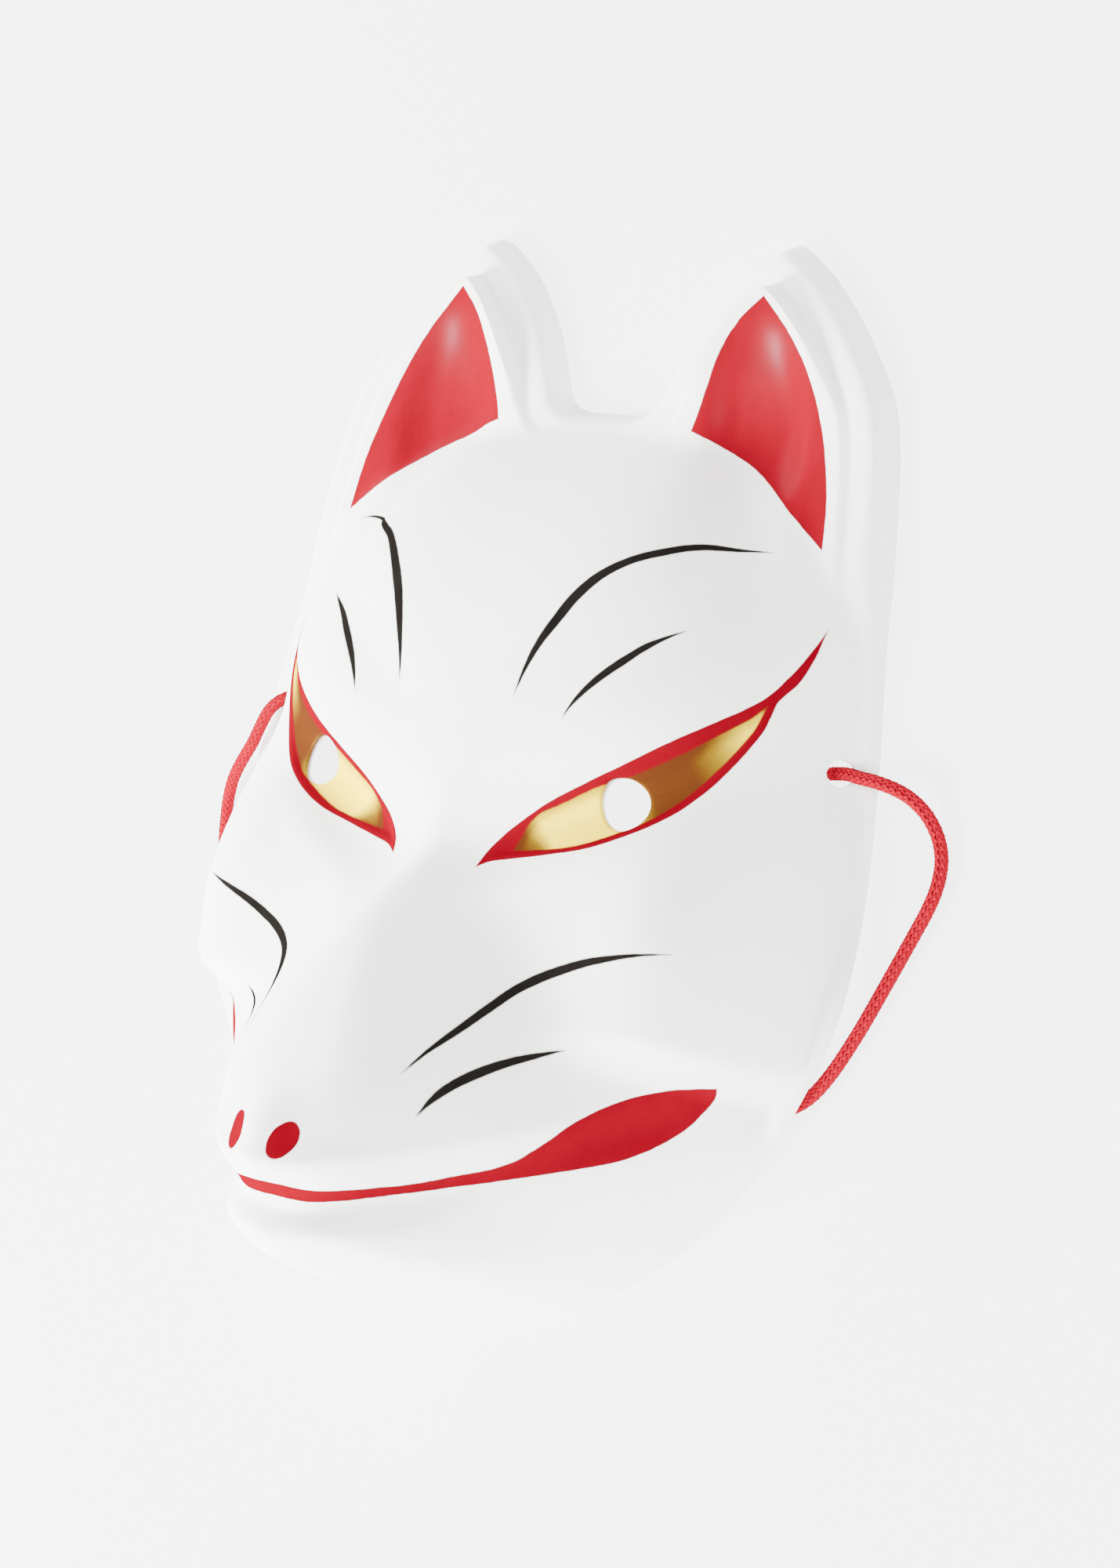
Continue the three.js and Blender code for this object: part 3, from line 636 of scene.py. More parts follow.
def shell_plan(fine, holes):
    """Right half of the plan: rim points first, then rings, hole rings and a field"""
    coarse = 2 * fine
    rim = even_points(EDGE, coarse)
    top, bottom = rim[-1, 1], rim[0, 1]
    seam_y = np.arange(bottom + coarse, top - 0.5 * coarse, coarse * ROW_SHARE)
    seam = np.stack([np.zeros_like(seam_y), seam_y], axis=1)[::-1]
    border = np.vstack([rim, seam])
    insets = np.concatenate([np.arange(*band) for band in RING_BANDS])
    rings = np.vstack([inset_ring(inset, coarse) for inset in insets])
    rings = rings[rings[:, 0] > SEAM_CLEAR * fine]
    field = field_points(fine)
    field = field[field[:, 0] > SEAM_CLEAR * fine]
    depth = edge_distance(field[:, 0], field[:, 1])[0]
    field = field[depth > insets[-1] + insets[0]]
    field = field[(field[:, 2] > 0) | detailed(field[:, 0], field[:, 1])][:, :2]
    free = np.vstack([rings, field])
    loops = []
    for hole, place in holes:
        level = height(free[:, 0], free[:, 1])
        clear = hole["radius"] + HOLE_RINGS[-1] + HOLE_CLEAR
        free = free[hole_distance(place, free[:, 0], free[:, 1], level) > clear]
        loops += [hole_ring(hole, place, extra) for extra in HOLE_RINGS]
    return rim, border, free, loops


def shell_half(fine, holes):
    """Plan points, triangles and the point numbers of rim and hole edges"""
    rim, border, free, loops = shell_plan(fine, holes)
    points = np.vstack([border, *loops, free])
    loop_ids = []
    start = len(border)
    for loop in loops:
        loop_ids.append(list(range(start, start + len(loop))))
        start += len(loop)
    edges = [(a, b) for ids in loop_ids for a, b in zip(ids, ids[1:] + ids[:1])]
    areas = [list(range(len(border))), *loop_ids[::len(HOLE_RINGS)]]
    found = geometry.delaunay_2d_cdt([Vector(p) for p in points], edges, areas, 1, 1e-6, True)
    plan = np.array([tuple(v) for v in found[0]])
    triangles = np.array([corners for corners, area in zip(found[2], found[5]) if area == [0]])
    a, b, c = (plan[triangles[:, i]] for i in range(3))
    area = (b - a)[:, 0] * (c - a)[:, 1] - (b - a)[:, 1] * (c - a)[:, 0]
    triangles[area < 0] = triangles[area < 0][:, ::-1]
    place = {old: new for new, merged in enumerate(found[3]) for old in merged}
    rim_ids = [place[i] for i in range(len(rim))]
    ring_ids = [[place[i] for i in ids] for ids in loop_ids]
    return plan, triangles, rim_ids, ring_ids


def rim_profile(plan_rim, wall_slope):
    """Rows of points from the foot of the outer wall, round the edge and under to the inside"""
    outward = edge_directions(plan_rim)
    base = rim_height(plan_rim[:, 1])
    lean = np.arctan(wall_slope)
    back = RIM_ROUND / np.tan(lean / 2)
    rows = []
    for share in np.linspace(0, 1, RIM_STEPS):
        angle = (math.pi / 2 + lean) * (1 - share) + 1.5 * math.pi * share
        rows.append((back + RIM_ROUND * np.cos(angle), base + RIM_ROUND * (1 + np.sin(angle))))
    rows.append((np.full_like(base, RIM_FACE - RIM_BEVEL), base))
    rows.append((np.full_like(base, RIM_FACE), base + RIM_BEVEL))
    return [np.column_stack([plan_rim - outward * inset[:, None], up]) for inset, up in rows]


def shell_sides(plan, wall, holes, ring_ids):
    """Outer and inner point over each plan point, with the edges of the holes eased"""
    x, y = plan.T
    level = height(x, y)
    lean = normal(x, y)
    outer = np.column_stack([x, y, level + eye_bed(x, y)])
    inner = np.column_stack([x, y, level]) - wall * lean
    for number, (_, place) in enumerate(holes):
        axis = place[1]
        for k, extra in enumerate(HOLE_RINGS):
            ids = ring_ids[number * len(HOLE_RINGS) + k]
            fall = HOLE_EDGE["fall"] * max(0, 1 - extra / HOLE_EDGE["width"]) ** 2
            inner[ids] = outer[ids] - axis * wall / lean[ids][:, 2:3] * axis[2]
            outer[ids] -= axis * fall
    return outer, inner


def shell_faces(triangles, count, lines, hole_loops):
    """Faces of the right half: outside, inside, round the rim and through the holes"""
    faces = [(a, b, c) for a, b, c in triangles]
    faces += [(count + a, count + c, count + b) for a, b, c in triangles]
    for upper, lower in zip(lines[:-1], lines[1:]):
        for i in range(len(upper) - 1):
            faces.append((upper[i], lower[i], lower[i + 1], upper[i + 1]))
    for ids in hole_loops:
        for a, b in zip(ids, ids[1:] + ids[:1]):
            faces.append((a, b, count + b, count + a))
    return faces


def with_left_half(half, faces, count):
    """Adds the mirror image, which shares the points of the middle line"""
    seam = np.abs(half[:, 0]) < ON_SEAM
    other = np.where(seam, np.arange(len(half)), len(half) + np.cumsum(~seam) - 1)
    points = np.vstack([half, half[~seam] * (-1, 1, 1)])
    outside = np.arange(len(half)) < count
    faces = faces + [tuple(other[i] for i in reversed(face)) for face in faces]
    return points, faces, np.concatenate([outside, outside[~seam]])


def shell_mesh(wall, fine):
    """The whole shell in millimetres: points, faces and which points are outside"""
    holes = [(EYE_HOLE, hole_frame(EYE_HOLE, True)), (CORD_HOLE, hole_frame(CORD_HOLE, False))]
    plan, triangles, rim_ids, ring_ids = shell_half(fine, holes)
    outer, inner = shell_sides(plan, wall, holes, ring_ids)
    rim_plan = plan[rim_ids]
    down = edge_distance(rim_plan[:, 0] * JUST_INSIDE, rim_plan[:, 1])[1]
    rows = rim_profile(rim_plan, steepness(rim_plan[:, 1], down))
    outer[rim_ids] = rows[0]
    inner[rim_ids] = rows[-1]
    middle = plan[:, 0] < ON_SEAM
    outer[middle, 0] = inner[middle, 0] = 0
    count = len(plan)
    rim = np.array(rim_ids)
    round_rim = [2 * count + k * len(rim) + np.arange(len(rim)) for k in range(len(rows) - 2)]
    lines = [rim, *round_rim, rim + count]
    faces = shell_faces(triangles, count, lines, ring_ids[::len(HOLE_RINGS)])
    return with_left_half(np.vstack([outer, inner, *rows[1:-1]]), faces, count)


# Painted marks, measured at each point of the shell
def stroke_marks(x, y, stroke):
    line = smooth_line(stroke)
    across, along = beside(x, y, line)
    last = len(line) - 1
    half = np.interp(along, np.arange(len(line)), line[:, 2])
    beyond = np.maximum(0, np.maximum(-along, along - last))
    return np.stack([across, half - STROKE_TAPER * beyond, np.clip(along / last, 0, 1)], axis=1)


def between_marks(x, y, upper, lower):
    above, along = beside(x, y, smooth_line(upper))
    below = beside(x, y, smooth_line(lower))[0]
    share = np.clip(along / (LINE_STEPS * (len(upper) - 1)), 0, 1)
    return np.stack([-above, below, share], axis=1)


def gold_marks_and_painted_light(x, y):
    """Both edges of the gold, and how bright it is: a painted reflection along the eye and painted shade at
    its upper edge
    """
    upper, lower, along = between_marks(x, y, GOLD_UPPER, GOLD_LOWER).T
    places, tones = np.array(GOLD_PAINTED_REFLECTION).T
    # Brightness along the eye is a painted reflection; the darkening along the upper edge is painted shade
    tone = np.interp(along, places, tones) - GOLD_EDGE_SHADE["shade"] * bell(upper, GOLD_EDGE_SHADE["width"])
    return np.stack([upper, lower, tone], axis=1)


def ear_marks(x, y):
    inner = -beside(x, y, smooth_line(EAR_INNER))[0]
    outer = beside(x, y, smooth_line(EAR_OUTER))[0]
    foot = beside(x, y, smooth_line(EAR_FOOT))[0]
    return np.stack([inner, outer, foot], axis=1)


def nostril_marks(x, y):
    u, v = oval_place(NOSTRIL, x, y)
    return np.stack([u, v, 0 * u], axis=1)


def store(mesh, name, values):
    kind = "FLOAT_VECTOR" if values.ndim == 2 else "FLOAT"
    layer = mesh.attributes.new(name, kind, "POINT")
    layer.data.foreach_set("vector" if values.ndim == 2 else "value", values.astype(np.float32).ravel())


STROKES = {
    "brow_long": BROW_LONG,
    "brow_short": BROW_SHORT,
    "whisker_long": WHISKER_LONG,
    "whisker_short": WHISKER_SHORT,
}
LEFT_STROKES = {**STROKES, "brow_long": BROW_LONG_LEFT}


def mark_shell(mesh, points, outside):
    """Distances from every painted edge, in millimetres, and which points can carry paint"""
    x, y = np.abs(points[:, 0]), points[:, 1]
    marks = {
        "eye_edges": between_marks(x, y, EYE_UPPER, EYE_LOWER),
        "gold_edges_painted_light": gold_marks_and_painted_light(x, y),
        "mouth_edges": between_marks(x, y, MOUTH_UPPER, MOUTH_LOWER),
        "ear_edges": ear_marks(x, y),
        "nostril": nostril_marks(x, y),
    }
    for name in STROKES:
        right, left = (stroke_marks(x, y, strokes[name]) for strokes in (STROKES, LEFT_STROKES))
        marks[name] = np.where(points[:, :1] < 0, left, right)
    for name, values in marks.items():
        store(mesh, name, values)
    store(mesh, "painted", outside.astype(float))


# Node trees
class Wire:
    """A socket that takes part in sums, so that node maths reads as an expression"""

    def __init__(self, nodes, socket):
        self.nodes = nodes
        self.socket = socket

    def sum(self, operation, *values, clamp=False):
        settings = {"operation": operation, "use_clamp": clamp}
        return self.nodes.node("ShaderNodeMath", settings, dict(enumerate(values)))

    def __add__(self, other):
        return self.sum("ADD", self, other)

    def __sub__(self, other):
        return self.sum("SUBTRACT", self, other)

    def __mul__(self, other):
        return self.sum("MULTIPLY", self, other)

    def __truediv__(self, other):
        return self.sum("DIVIDE", self, other)

    def __pow__(self, other):
        return self.sum("POWER", self, other)

    def __rsub__(self, other):
        return self.sum("SUBTRACT", other, self)

    def __rtruediv__(self, other):
        return self.sum("DIVIDE", other, self)

    def __abs__(self):
        return self.sum("ABSOLUTE", self)

    __radd__ = __add__
    __rmul__ = __mul__

    def least(self, other):
        return self.sum("MINIMUM", self, other)

    def most(self, other):
        return self.sum("MAXIMUM", self, other)

    def clipped(self):
        return self.sum("ADD", self, 0, clamp=True)

    def sine(self):
        return self.sum("SINE", self)

    def cosine(self):
        return self.sum("COSINE", self)

    def output(self, number):
        """Another output of the same node"""
        return Wire(self.nodes, self.socket.node.outputs[number])


class Nodes:
    """A node tree and the one way to add to it"""

    def __init__(self, tree):
        self.tree = tree

    def node(self, kind, settings=None, inputs=None, out=0):
        """Makes a node: its settings first, then the values or links of its sockets"""
        made = self.tree.nodes.new(kind)
        for name, value in (settings or {}).items():
            setattr(made, name, value)
        for name, value in (inputs or {}).items():
            if isinstance(value, Wire):
                self.tree.links.new(value.socket, made.inputs[name])
            else:
                made.inputs[name].default_value = value
        return Wire(self, made.outputs[out]) if len(made.outputs) else None


class Finish(Nodes):
    """One procedural material"""

    def __init__(self, name):
        self.material = bpy.data.materials.new(name)
        self.material.use_nodes = True
        super().__init__(self.material.node_tree)
        self.tree.nodes.clear()
        self.place = self.node("ShaderNodeTexCoord", out="Object")

    def noise(self, name):
        """One of the noise patterns"""
        pattern = {**PLAIN_PATTERN, **PATTERNS[name]}
        mapped = {"Vector": self.place, "Location": pattern["offset"], "Scale": pattern["stretch"]}
        moved = self.node("ShaderNodeMapping", None, mapped)
        sockets = {"Scale": pattern["scale"], "Detail": pattern["detail"], "Roughness": pattern["roughness"]}
        return self.node("ShaderNodeTexNoise", None, {"Vector": moved, **sockets})

    def number(self, name):
        """A number stored on the mesh"""
        return self.node("ShaderNodeAttribute", {"attribute_name": name}, out="Fac")

    def numbers(self, name):
        """Three numbers stored on the mesh"""
        vector = self.node("ShaderNodeAttribute", {"attribute_name": name}, out="Vector")
        first = self.node("ShaderNodeSeparateXYZ", None, {0: vector})
        return first, first.output(1), first.output(2)

    def mix(self, share, low, high):
        """Colour between low and high"""
        low = low if isinstance(low, Wire) else (*low, 1)
        high = high if isinstance(high, Wire) else (*high, 1)
        return self.node("ShaderNodeMix", {"data_type": "RGBA"}, {0: share, 6: low, 7: high}, out=2)

    def tinted(self, share, colour, tints):
        """The colour between its darker and its lighter tint"""
        return self.mix(share, *(tint(colour, part) for part in tints))

    def bump(self, relief, distance, strength):
        sockets = {"Height": relief, "Distance": distance, "Strength": strength}
        return self.node("ShaderNodeBump", None, sockets)

    def surface(self, sockets):
        shader = self.node("ShaderNodeBsdfPrincipled", None, sockets)
        self.node("ShaderNodeOutputMaterial", None, {"Surface": shader})
        return self.material


def tint(colour, share):
    """The colour made darker or lighter"""
    return [min(1, channel * share) for channel in colour]


def covered(distance, soft):
    """1 well inside a painted edge and 0 outside it"""
    return (distance / soft + 0.5).clipped()


def ink_cover(finish, wobble, soft):
    """1 where a brow or a whisker is drawn"""
    ink = None
    for name in STROKES:
        across, half, _ = finish.numbers(name)
        stroke = covered(half - abs(across) + wobble * WOBBLE["ink"], soft)
        ink = ink.most(stroke) if ink else stroke
    return ink


def red_colour(finish, paint, brush, ear):
    """Brushed red, lighter in the ears as a painted sheen, and with fine dark specks there"""
    plain = finish.tinted(brush, paint.red, RED_TINTS)
    # The lighter red in the ears is a painted sheen
    painted_light = finish.tinted(brush, paint.red, EAR_SHEEN_TINTS)
    specks = finish.noise("specks")
    speck = ((specks - SPECKS["level"]) * SPECKS["steep"]).clipped() * ear
    return finish.mix(speck * SPECKS["share"], finish.mix(ear, plain, painted_light), SPECKS["colour"])


def gold_colour(finish, paint, tone, grain):
    """Gold, dark where its painted reflection and shade fall, and a little tarnished all over"""
    clouds = finish.noise("tarnish")
    tarnish = (clouds * TARNISH["clouds"] + grain * TARNISH["grain"]).clipped()
    # Painted reflection and shade, with tarnish mixed in
    painted_light = (tone + (tarnish - TARNISH["middle"]) * TARNISH["share"]).clipped()
    return finish.mix(painted_light * painted_light, paint.gold_painted_dark, paint.gold)


def shell_finish(paint):
    """White plastic with red, gold and ink laid on by brush"""
    finish = Finish("painted_shell_plastic")
    soft = paint.edge / MM
    outside = finish.number("painted")
    wobble = (finish.noise("wobble") - 0.5) * WOBBLE["reach"]
    brush = finish.noise("brush")
    grain = finish.noise("grain")
    fine = finish.noise("fine")

    eye_upper, eye_lower, _ = finish.numbers("eye_edges")
    eye = covered(eye_upper.least(eye_lower) + wobble * WOBBLE["eye"], soft)
    # The third number is the gold's painted reflection and shade
    gold_upper, gold_lower, gold_painted_light = finish.numbers("gold_edges_painted_light")
    gold = covered(gold_upper.least(gold_lower) + wobble * WOBBLE["gold"], soft * SOFTER["gold"])
    gold = gold * eye * outside
    mouth_upper, mouth_lower, _ = finish.numbers("mouth_edges")
    mouth = covered(mouth_upper.least(mouth_lower) + wobble * WOBBLE["mouth"], soft)
    ear_inner, ear_outer, ear_foot = finish.numbers("ear_edges")
    ear = covered(ear_inner.least(ear_outer).least(ear_foot) + wobble, soft)
    u, v, _ = finish.numbers("nostril")
    nostril = covered((1 - (u * u + v * v) ** 0.5) * NOSTRIL["across"] + wobble, soft)
    red = eye.most(mouth).most(ear).most(nostril) * outside
    ink = ink_cover(finish, wobble, soft * SOFTER["ink"]) * outside

    white = finish.tinted(finish.noise("clouds"), paint.white, WHITE_TINTS)
    colour = finish.mix(red, white, red_colour(finish, paint, brush, ear))
    colour = finish.mix(gold, colour, gold_colour(finish, paint, gold_painted_light, grain))
    colour = finish.mix(ink, colour, finish.tinted(brush, paint.ink, INK_TINTS))

    painted = between(red, between(fine, *ROUGHNESS["white"]), ROUGHNESS["red"])
    roughness = between(gold, painted, ROUGHNESS["gold"] + grain * ROUGHNESS["grain"])
    relief = (finish.noise("waves") * RELIEF["waves"] + fine * RELIEF["fine"]
              + red * RELIEF["red"] + ink * RELIEF["ink"] + grain * gold * RELIEF["gold"])
    return finish.surface({
        "Base Color": colour,
        "Roughness": between(outside, ROUGHNESS["inside"], roughness),
        "Metallic": gold * GOLD_METAL,
        "Specular IOR Level": 0.0,
        "Coat Weight": between(ear, (1 - red) * (1 - ink) * COAT["plain"], COAT["ear"]) * outside,
        "Coat Roughness": COAT["roughness"],
        "Normal": finish.bump(relief, distance=0.00022, strength=0.5),
    })


def cord_finish(cord):
    """Red yarn: each strand a little different, with a fine twist and some fuzz"""
    finish = Finish("braided_red_elastic")
    strand = finish.number("strand")
    fuzz = finish.noise("fuzz")
    yarn = (strand * 0.4 + finish.noise("yarn") * 0.6).clipped()
    colour = finish.tinted(yarn, cord.colour, YARN_TINTS)
    colour = finish.mix(fuzz * YARN_FUZZ["colour"], colour, tint(cord.colour, FUZZ_TINT))
    around, along = finish.number("around"), finish.number("along")
    twist = (around * YARN_TWIST["around"] + along * YARN_TWIST["along"]).sine()
    relief = twist * YARN_TWIST["relief"] + fuzz * YARN_FUZZ["relief"]
    return finish.surface({
        "Base Color": colour,
        "Roughness": 0.55 + fuzz * YARN_FUZZ["roughness"],
        "Normal": finish.bump(relief, distance=0.00006, strength=0.8),
        "Specular IOR Level": 0.0,
    })


def floor_finish(colour, glow):
    """Plain pale light table"""
    finish = Finish("pale_studio_floor")
    tone = finish.noise("floor")
    return finish.surface({
        "Base Color": finish.tinted(tone, colour, FLOOR_TINTS),
        "Roughness": 0.9 + tone * 0.05,
        "Specular IOR Level": 0.1,
        "Emission Color": (1, 1, 1, 1),
        "Emission Strength": glow,
    })


class Braid(Nodes):
    """Geometry nodes that wind strands both ways round a line"""

    SIZES = {
        "Diameter": ("NodeSocketFloat", 0.003),
        "Strands": ("NodeSocketInt", 16),
        "Pitch": ("NodeSocketFloat", 0.013),
        "Strand width": ("NodeSocketFloat", 0.00082),
        "Strand thickness": ("NodeSocketFloat", 0.00032),
        "Crown": ("NodeSocketFloat", 0.0001),
        "Groove": ("NodeSocketFloat", 0.2),
        "Groove turn": ("NodeSocketFloat", 1.9),
        "Step": ("NodeSocketFloat", 0.00036),
        "Yarn": ("NodeSocketMaterial", None),
    }

    def __init__(self):
        super().__init__(bpy.data.node_groups.new("braided_cord", "GeometryNodeTree"))
        sockets = self.tree.interface
        sockets.new_socket("Line", in_out="INPUT", socket_type="NodeSocketGeometry")
        self.sizes = {}
        for name, (kind, default) in self.SIZES.items():
            socket = sockets.new_socket(name, in_out="INPUT", socket_type=kind)
            self.sizes[name] = socket.identifier
            if default is not None:
                socket.default_value = default
        sockets.new_socket("Cord", in_out="OUTPUT", socket_type="NodeSocketGeometry")
        self.given = self.node("NodeGroupInput")
        self.build()

    def size(self, name):
        return self.given.output(name)

    def vector(self, operation, first, second):
        second = {"Scale": second} if operation == "SCALE" else {1: second}
        return self.node("ShaderNodeVectorMath", {"operation": operation}, {0: first, **second})

    def stored(self, shape, name, value):
        sockets = {"Geometry": shape, "Name": name, "Value": value}
        return self.node("GeometryNodeStoreNamedAttribute", None, sockets)

    def swept(self, line, profile):
        sockets = {"Curve": line, "Profile Curve": profile, "Fill Caps": True}
        return self.node("GeometryNodeCurveToMesh", None, sockets)

    def build(self):
        line = self.node("GeometryNodeMeshToCurve", None, {"Mesh": self.size("Line")})
        fine = self.node("GeometryNodeResampleCurve", {"mode": "LENGTH"},
                         {"Curve": line, "Length": self.size("Step")})
        rough = self.node("GeometryNodeResampleCurve", {"mode": "LENGTH"},
                          {"Curve": line, "Length": self.size("Step") * 4})
        strands = self.node("GeometryNodeDuplicateElements", {"domain": "SPLINE"},
                            {"Geometry": fine, "Amount": self.size("Strands")})
        index = strands.output(1)
        way = 1 - index.sum("MODULO", index, 2) * 2
        place = self.node("GeometryNodeSplineParameter", out="Length")
        pairs = self.size("Strands") / 2
        once = place * (2 * math.pi) / self.size("Pitch")
        pair = index / 2
        turn = way * once + pair.sum("FLOOR", pair) * (2 * math.pi) / pairs
        wave = (once * pairs).cosine() * way
        dip = (turn - self.size("Groove turn")).cosine().most(0) ** 20
        middle = self.size("Diameter") / 2 - self.size("Crown") - self.size("Strand thickness") / 2
        radius = (middle + wave * self.size("Crown")) * (1 - dip * self.size("Groove"))

        tangent = self.node("GeometryNodeInputTangent")
        side = self.vector("CROSS_PRODUCT", tangent, (0, 0, 1))
        side = self.node("ShaderNodeVectorMath", {"operation": "NORMALIZE"}, {0: side})
        upright = self.vector("CROSS_PRODUCT", side, tangent)
        outward = self.vector("ADD", self.vector("SCALE", side, turn.cosine()),
                              self.vector("SCALE", upright, turn.sine()))
        kept = self.tree.nodes.new("GeometryNodeCaptureAttribute")
        kept.capture_items.new("VECTOR", "Outward")
        self.tree.links.new(strands.socket, kept.inputs[0])
        self.tree.links.new(outward.socket, kept.inputs[1])
        outward = Wire(self, kept.outputs[1])
        shade = index * 0.618
        marked = self.stored(Wire(self, kept.outputs[0]), "strand", shade.sum("FRACT", shade))
        marked = self.stored(marked, "along", place)
        moved = self.node("GeometryNodeSetPosition", None,
                          {"Geometry": marked, "Offset": self.vector("SCALE", outward, radius)})
        facing = self.node("GeometryNodeSetCurveNormal", {"mode": "FREE"},
                           {"Curve": moved, "Normal": outward})

        circle = self.node("GeometryNodeCurvePrimitiveCircle", None, {"Resolution": 5, "Radius": 0.5})
        combined = self.node("ShaderNodeCombineXYZ", None,
                             {0: self.size("Strand thickness"), 1: self.size("Strand width"), 2: 1})
        flat = self.node("GeometryNodeTransform", None, {"Geometry": circle, "Scale": combined})
        flat = self.stored(flat, "around", self.node("GeometryNodeSplineParameter"))
        core_radius = middle - self.size("Strand thickness") * 0.4
        core = self.node("GeometryNodeCurvePrimitiveCircle", None,
                         {"Resolution": 12, "Radius": core_radius * 0.8})
        joined = self.node("GeometryNodeJoinGeometry", None, {0: self.swept(facing, flat)})
        self.tree.links.new(self.swept(rough, core).socket, joined.socket.node.inputs[0])
        real = self.node("GeometryNodeRealizeInstances", None, {"Geometry": joined})
        dressed = self.node("GeometryNodeSetMaterial", None,
                            {"Geometry": real, "Material": self.size("Yarn")})
        self.node("NodeGroupOutput", None, {0: dressed})


# Objects
def new_object(name, data):
    made = bpy.data.objects.new(name, data)
    bpy.context.scene.collection.objects.link(made)
    return made


def braided(name, line, cord, yarn, **sizes):
    """A braided cord along a line of points, as a plain mesh"""
    path = bpy.data.meshes.new(name)
    path.from_pydata([tuple(p) for p in line], [(i, i + 1) for i in range(len(line) - 1)], [])
    source = new_object(name, path)
    braid = Braid()
    winding = source.modifiers.new("Braid", "NODES")
    winding.node_group = braid.tree
    chosen = {"Diameter": cord.diameter, "Strands": cord.strands, "Pitch": cord.pitch, "Yarn": yarn}
    for size, value in {**chosen, **sizes}.items():
        winding[braid.sizes[size]] = value
    seen = source.evaluated_get(bpy.context.evaluated_depsgraph_get())
    mesh = bpy.data.meshes.new_from_object(seen)
    source.modifiers.remove(winding)
    source.data = mesh
    mesh.shade_smooth()
    return source


def knot_path(end):
    """Overhand knot pulled tight, with its cut tail, beside one end of the cord"""
    side = math.copysign(1, end[0])
    turn = np.linspace(KNOT["start"], KNOT["end"], KNOT["points"])
    reach = KNOT["ring"] + KNOT["loop"] * np.cos(3 * turn)
    knot = np.stack([KNOT["loop"] * np.sin(3 * turn), reach * np.cos(2 * turn),
                     reach * np.sin(2 * turn)], axis=1)
    place = np.array((end[0] - side * KNOT["away"] * MM, end[1], KNOT["z"] * MM))
    return knot * (side, 1, 1) * MM + place


class FOXMASK_OT_stage(bpy.types.Operator):
    """Camera, soft light and a pale floor"""

    bl_idname = "fox_mask.stage"
    bl_label = "Studio stage"

    def execute(self, context):
        stage = context.scene.fox_mask_stage
        camera = new_object("studio_camera", bpy.data.cameras.new("studio_camera"))
        camera.data.lens = CAMERA_LENS
        camera.data.sensor_width = 36
        axes = Matrix(CAMERA_AXES).transposed()
        camera.matrix_world = Matrix.Translation(CAMERA_PLACE) @ axes.to_4x4()
        camera.data.clip_start = 0.02
        camera.data.clip_end = 20
        context.scene.camera = camera

        world = bpy.data.worlds.new("even_light")
        world.use_nodes = True
        sky = world.node_tree.nodes["Background"]
        sky.inputs["Color"].default_value = (1, 1, 1, 1)
        sky.inputs["Strength"].default_value = stage.fill
        context.scene.world = world
        world.cycles_visibility.glossy = False
        for lamp in LAMPS:
            self.lamp(stage.key, **lamp)

        floor = bpy.data.meshes.new("studio_floor")
        corners = [(x * FLOOR["reach"], y * FLOOR["reach"], -FLOOR["drop"])
                   for x, y in ((-1, -1), (1, -1), (1, 1), (-1, 1))]
        floor.from_pydata(corners, [], [(0, 1, 2, 3)])
        floor.materials.append(floor_finish(stage.floor, stage.glow))
        ground = new_object("studio_floor", floor)
        ground.visible_glossy = False
        return {"FINISHED"}

    def lamp(self, power, name, place, size, share, mirrored):
        light = bpy.data.lights.new(name, "AREA")
        light.shape = "DISK"
        light.size = size
        light.energy = power * share
        lamp = new_object(name, light)
        lamp.location = place
        lamp.rotation_euler = (Vector(place) * -1).to_track_quat("-Z", "Y").to_euler()
        lamp.visible_glossy = mirrored


class FOXMASK_OT_cord(bpy.types.Operator):
    """Braided elastic cord with a knot at each end"""

    bl_idname = "fox_mask.cord"
    bl_label = "Elastic cord"

    def execute(self, context):
        cord = context.scene.fox_mask_cord
        yarn = cord_finish(cord)
        route = even_points(smooth_line(CORD_ROUTE, ROUTE_STEPS), ROUTE_STEP)
        length = float(np.linalg.norm(np.diff(route, axis=0), axis=1).sum())
        braid = braided("elastic_cord_braid", route, cord, yarn)
        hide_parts("elastic_cord")
        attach(braid, "root")
        for end, name in ((CORD_ROUTE[0], "right"), (CORD_ROUTE[-1], "left")):
            knot = braided(f"cord_knot_tied_{name}", knot_path(end), cord, yarn, Groove=0.0,
                           Strands=KNOT["strands"], Diameter=KNOT["thickness"] * MM, Pitch=cord.pitch / 2)
            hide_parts(f"cord_knot_{name}")
            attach(knot, "root")
        return {"FINISHED"}


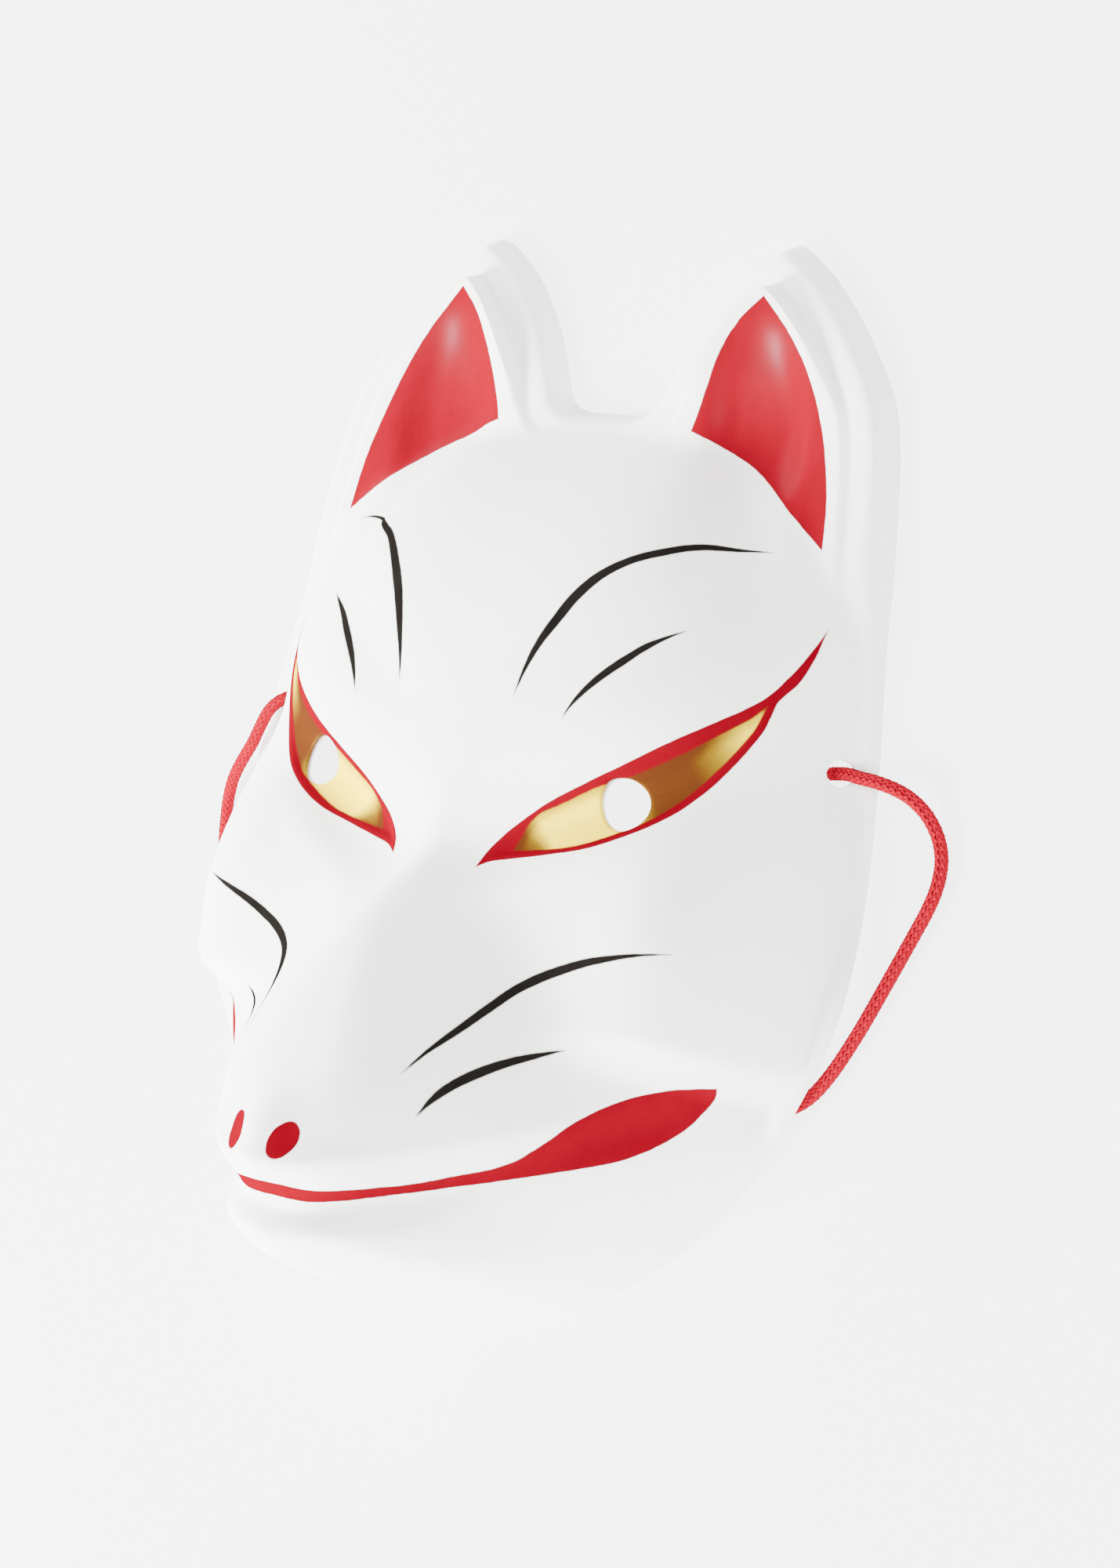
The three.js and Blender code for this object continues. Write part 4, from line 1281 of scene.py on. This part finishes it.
class FOXMASK_OT_shell(bpy.types.Operator):
    """Moulded shell with its painted marks"""

    bl_idname = "fox_mask.shell"
    bl_label = "Mask shell"

    def execute(self, context):
        shell = context.scene.fox_mask_shell
        points, faces, outside = shell_mesh(shell.wall / MM, shell.fine / MM)
        mesh = bpy.data.meshes.new("painted_mask_shell")
        mesh.from_pydata((points - (0, MID_Y, 0)) * MM, [], faces)
        mark_shell(mesh, points, outside)
        mesh.materials.append(shell_finish(context.scene.fox_mask_paint))
        mesh.shade_smooth()
        mesh.set_sharp_from_angle(angle=math.radians(SHARP_ANGLE))
        made = new_object("painted_mask_shell", mesh)
        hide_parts("mask_shell")
        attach(made, "root")
        return {"FINISHED"}


class FOXMASK_PT_panel(bpy.types.Panel):
    """Lists the pieces of the fox mask and their sizes"""

    bl_idname = "FOXMASK_PT_panel"
    bl_label = "Fox mask"
    bl_space_type = "VIEW_3D"
    bl_region_type = "UI"
    bl_category = "Fox mask"

    def draw(self, context):
        scene = context.scene
        for title, operator, groups in (
            ("Stage", "fox_mask.stage", (scene.fox_mask_stage,)),
            ("Cord", "fox_mask.cord", (scene.fox_mask_cord,)),
            ("Shell", "fox_mask.shell", (scene.fox_mask_shell, scene.fox_mask_paint)),
        ):
            box = self.layout.box()
            box.label(text=title)
            for group in groups:
                for name in group.__annotations__:
                    box.prop(group, name)
            box.operator(operator)


GROUPS = {
    "fox_mask_shell": FoxMaskShell,
    "fox_mask_paint": FoxMaskPaint,
    "fox_mask_cord": FoxMaskCord,
    "fox_mask_stage": FoxMaskStage,
}
CLASSES = (*GROUPS.values(), FOXMASK_OT_stage, FOXMASK_OT_cord, FOXMASK_OT_shell, FOXMASK_PT_panel)


def register():
    for kind in CLASSES:
        bpy.utils.register_class(kind)
    for name, kind in GROUPS.items():
        setattr(bpy.types.Scene, name, PointerProperty(type=kind))


def unregister():
    for name in GROUPS:
        delattr(bpy.types.Scene, name)
    for kind in reversed(CLASSES):
        bpy.utils.unregister_class(kind)


def main():
    register()
    bpy.ops.fox_mask.stage()
    bpy.ops.fox_mask.cord()
    bpy.ops.fox_mask.shell()


if __name__ == "__main__":
    main()
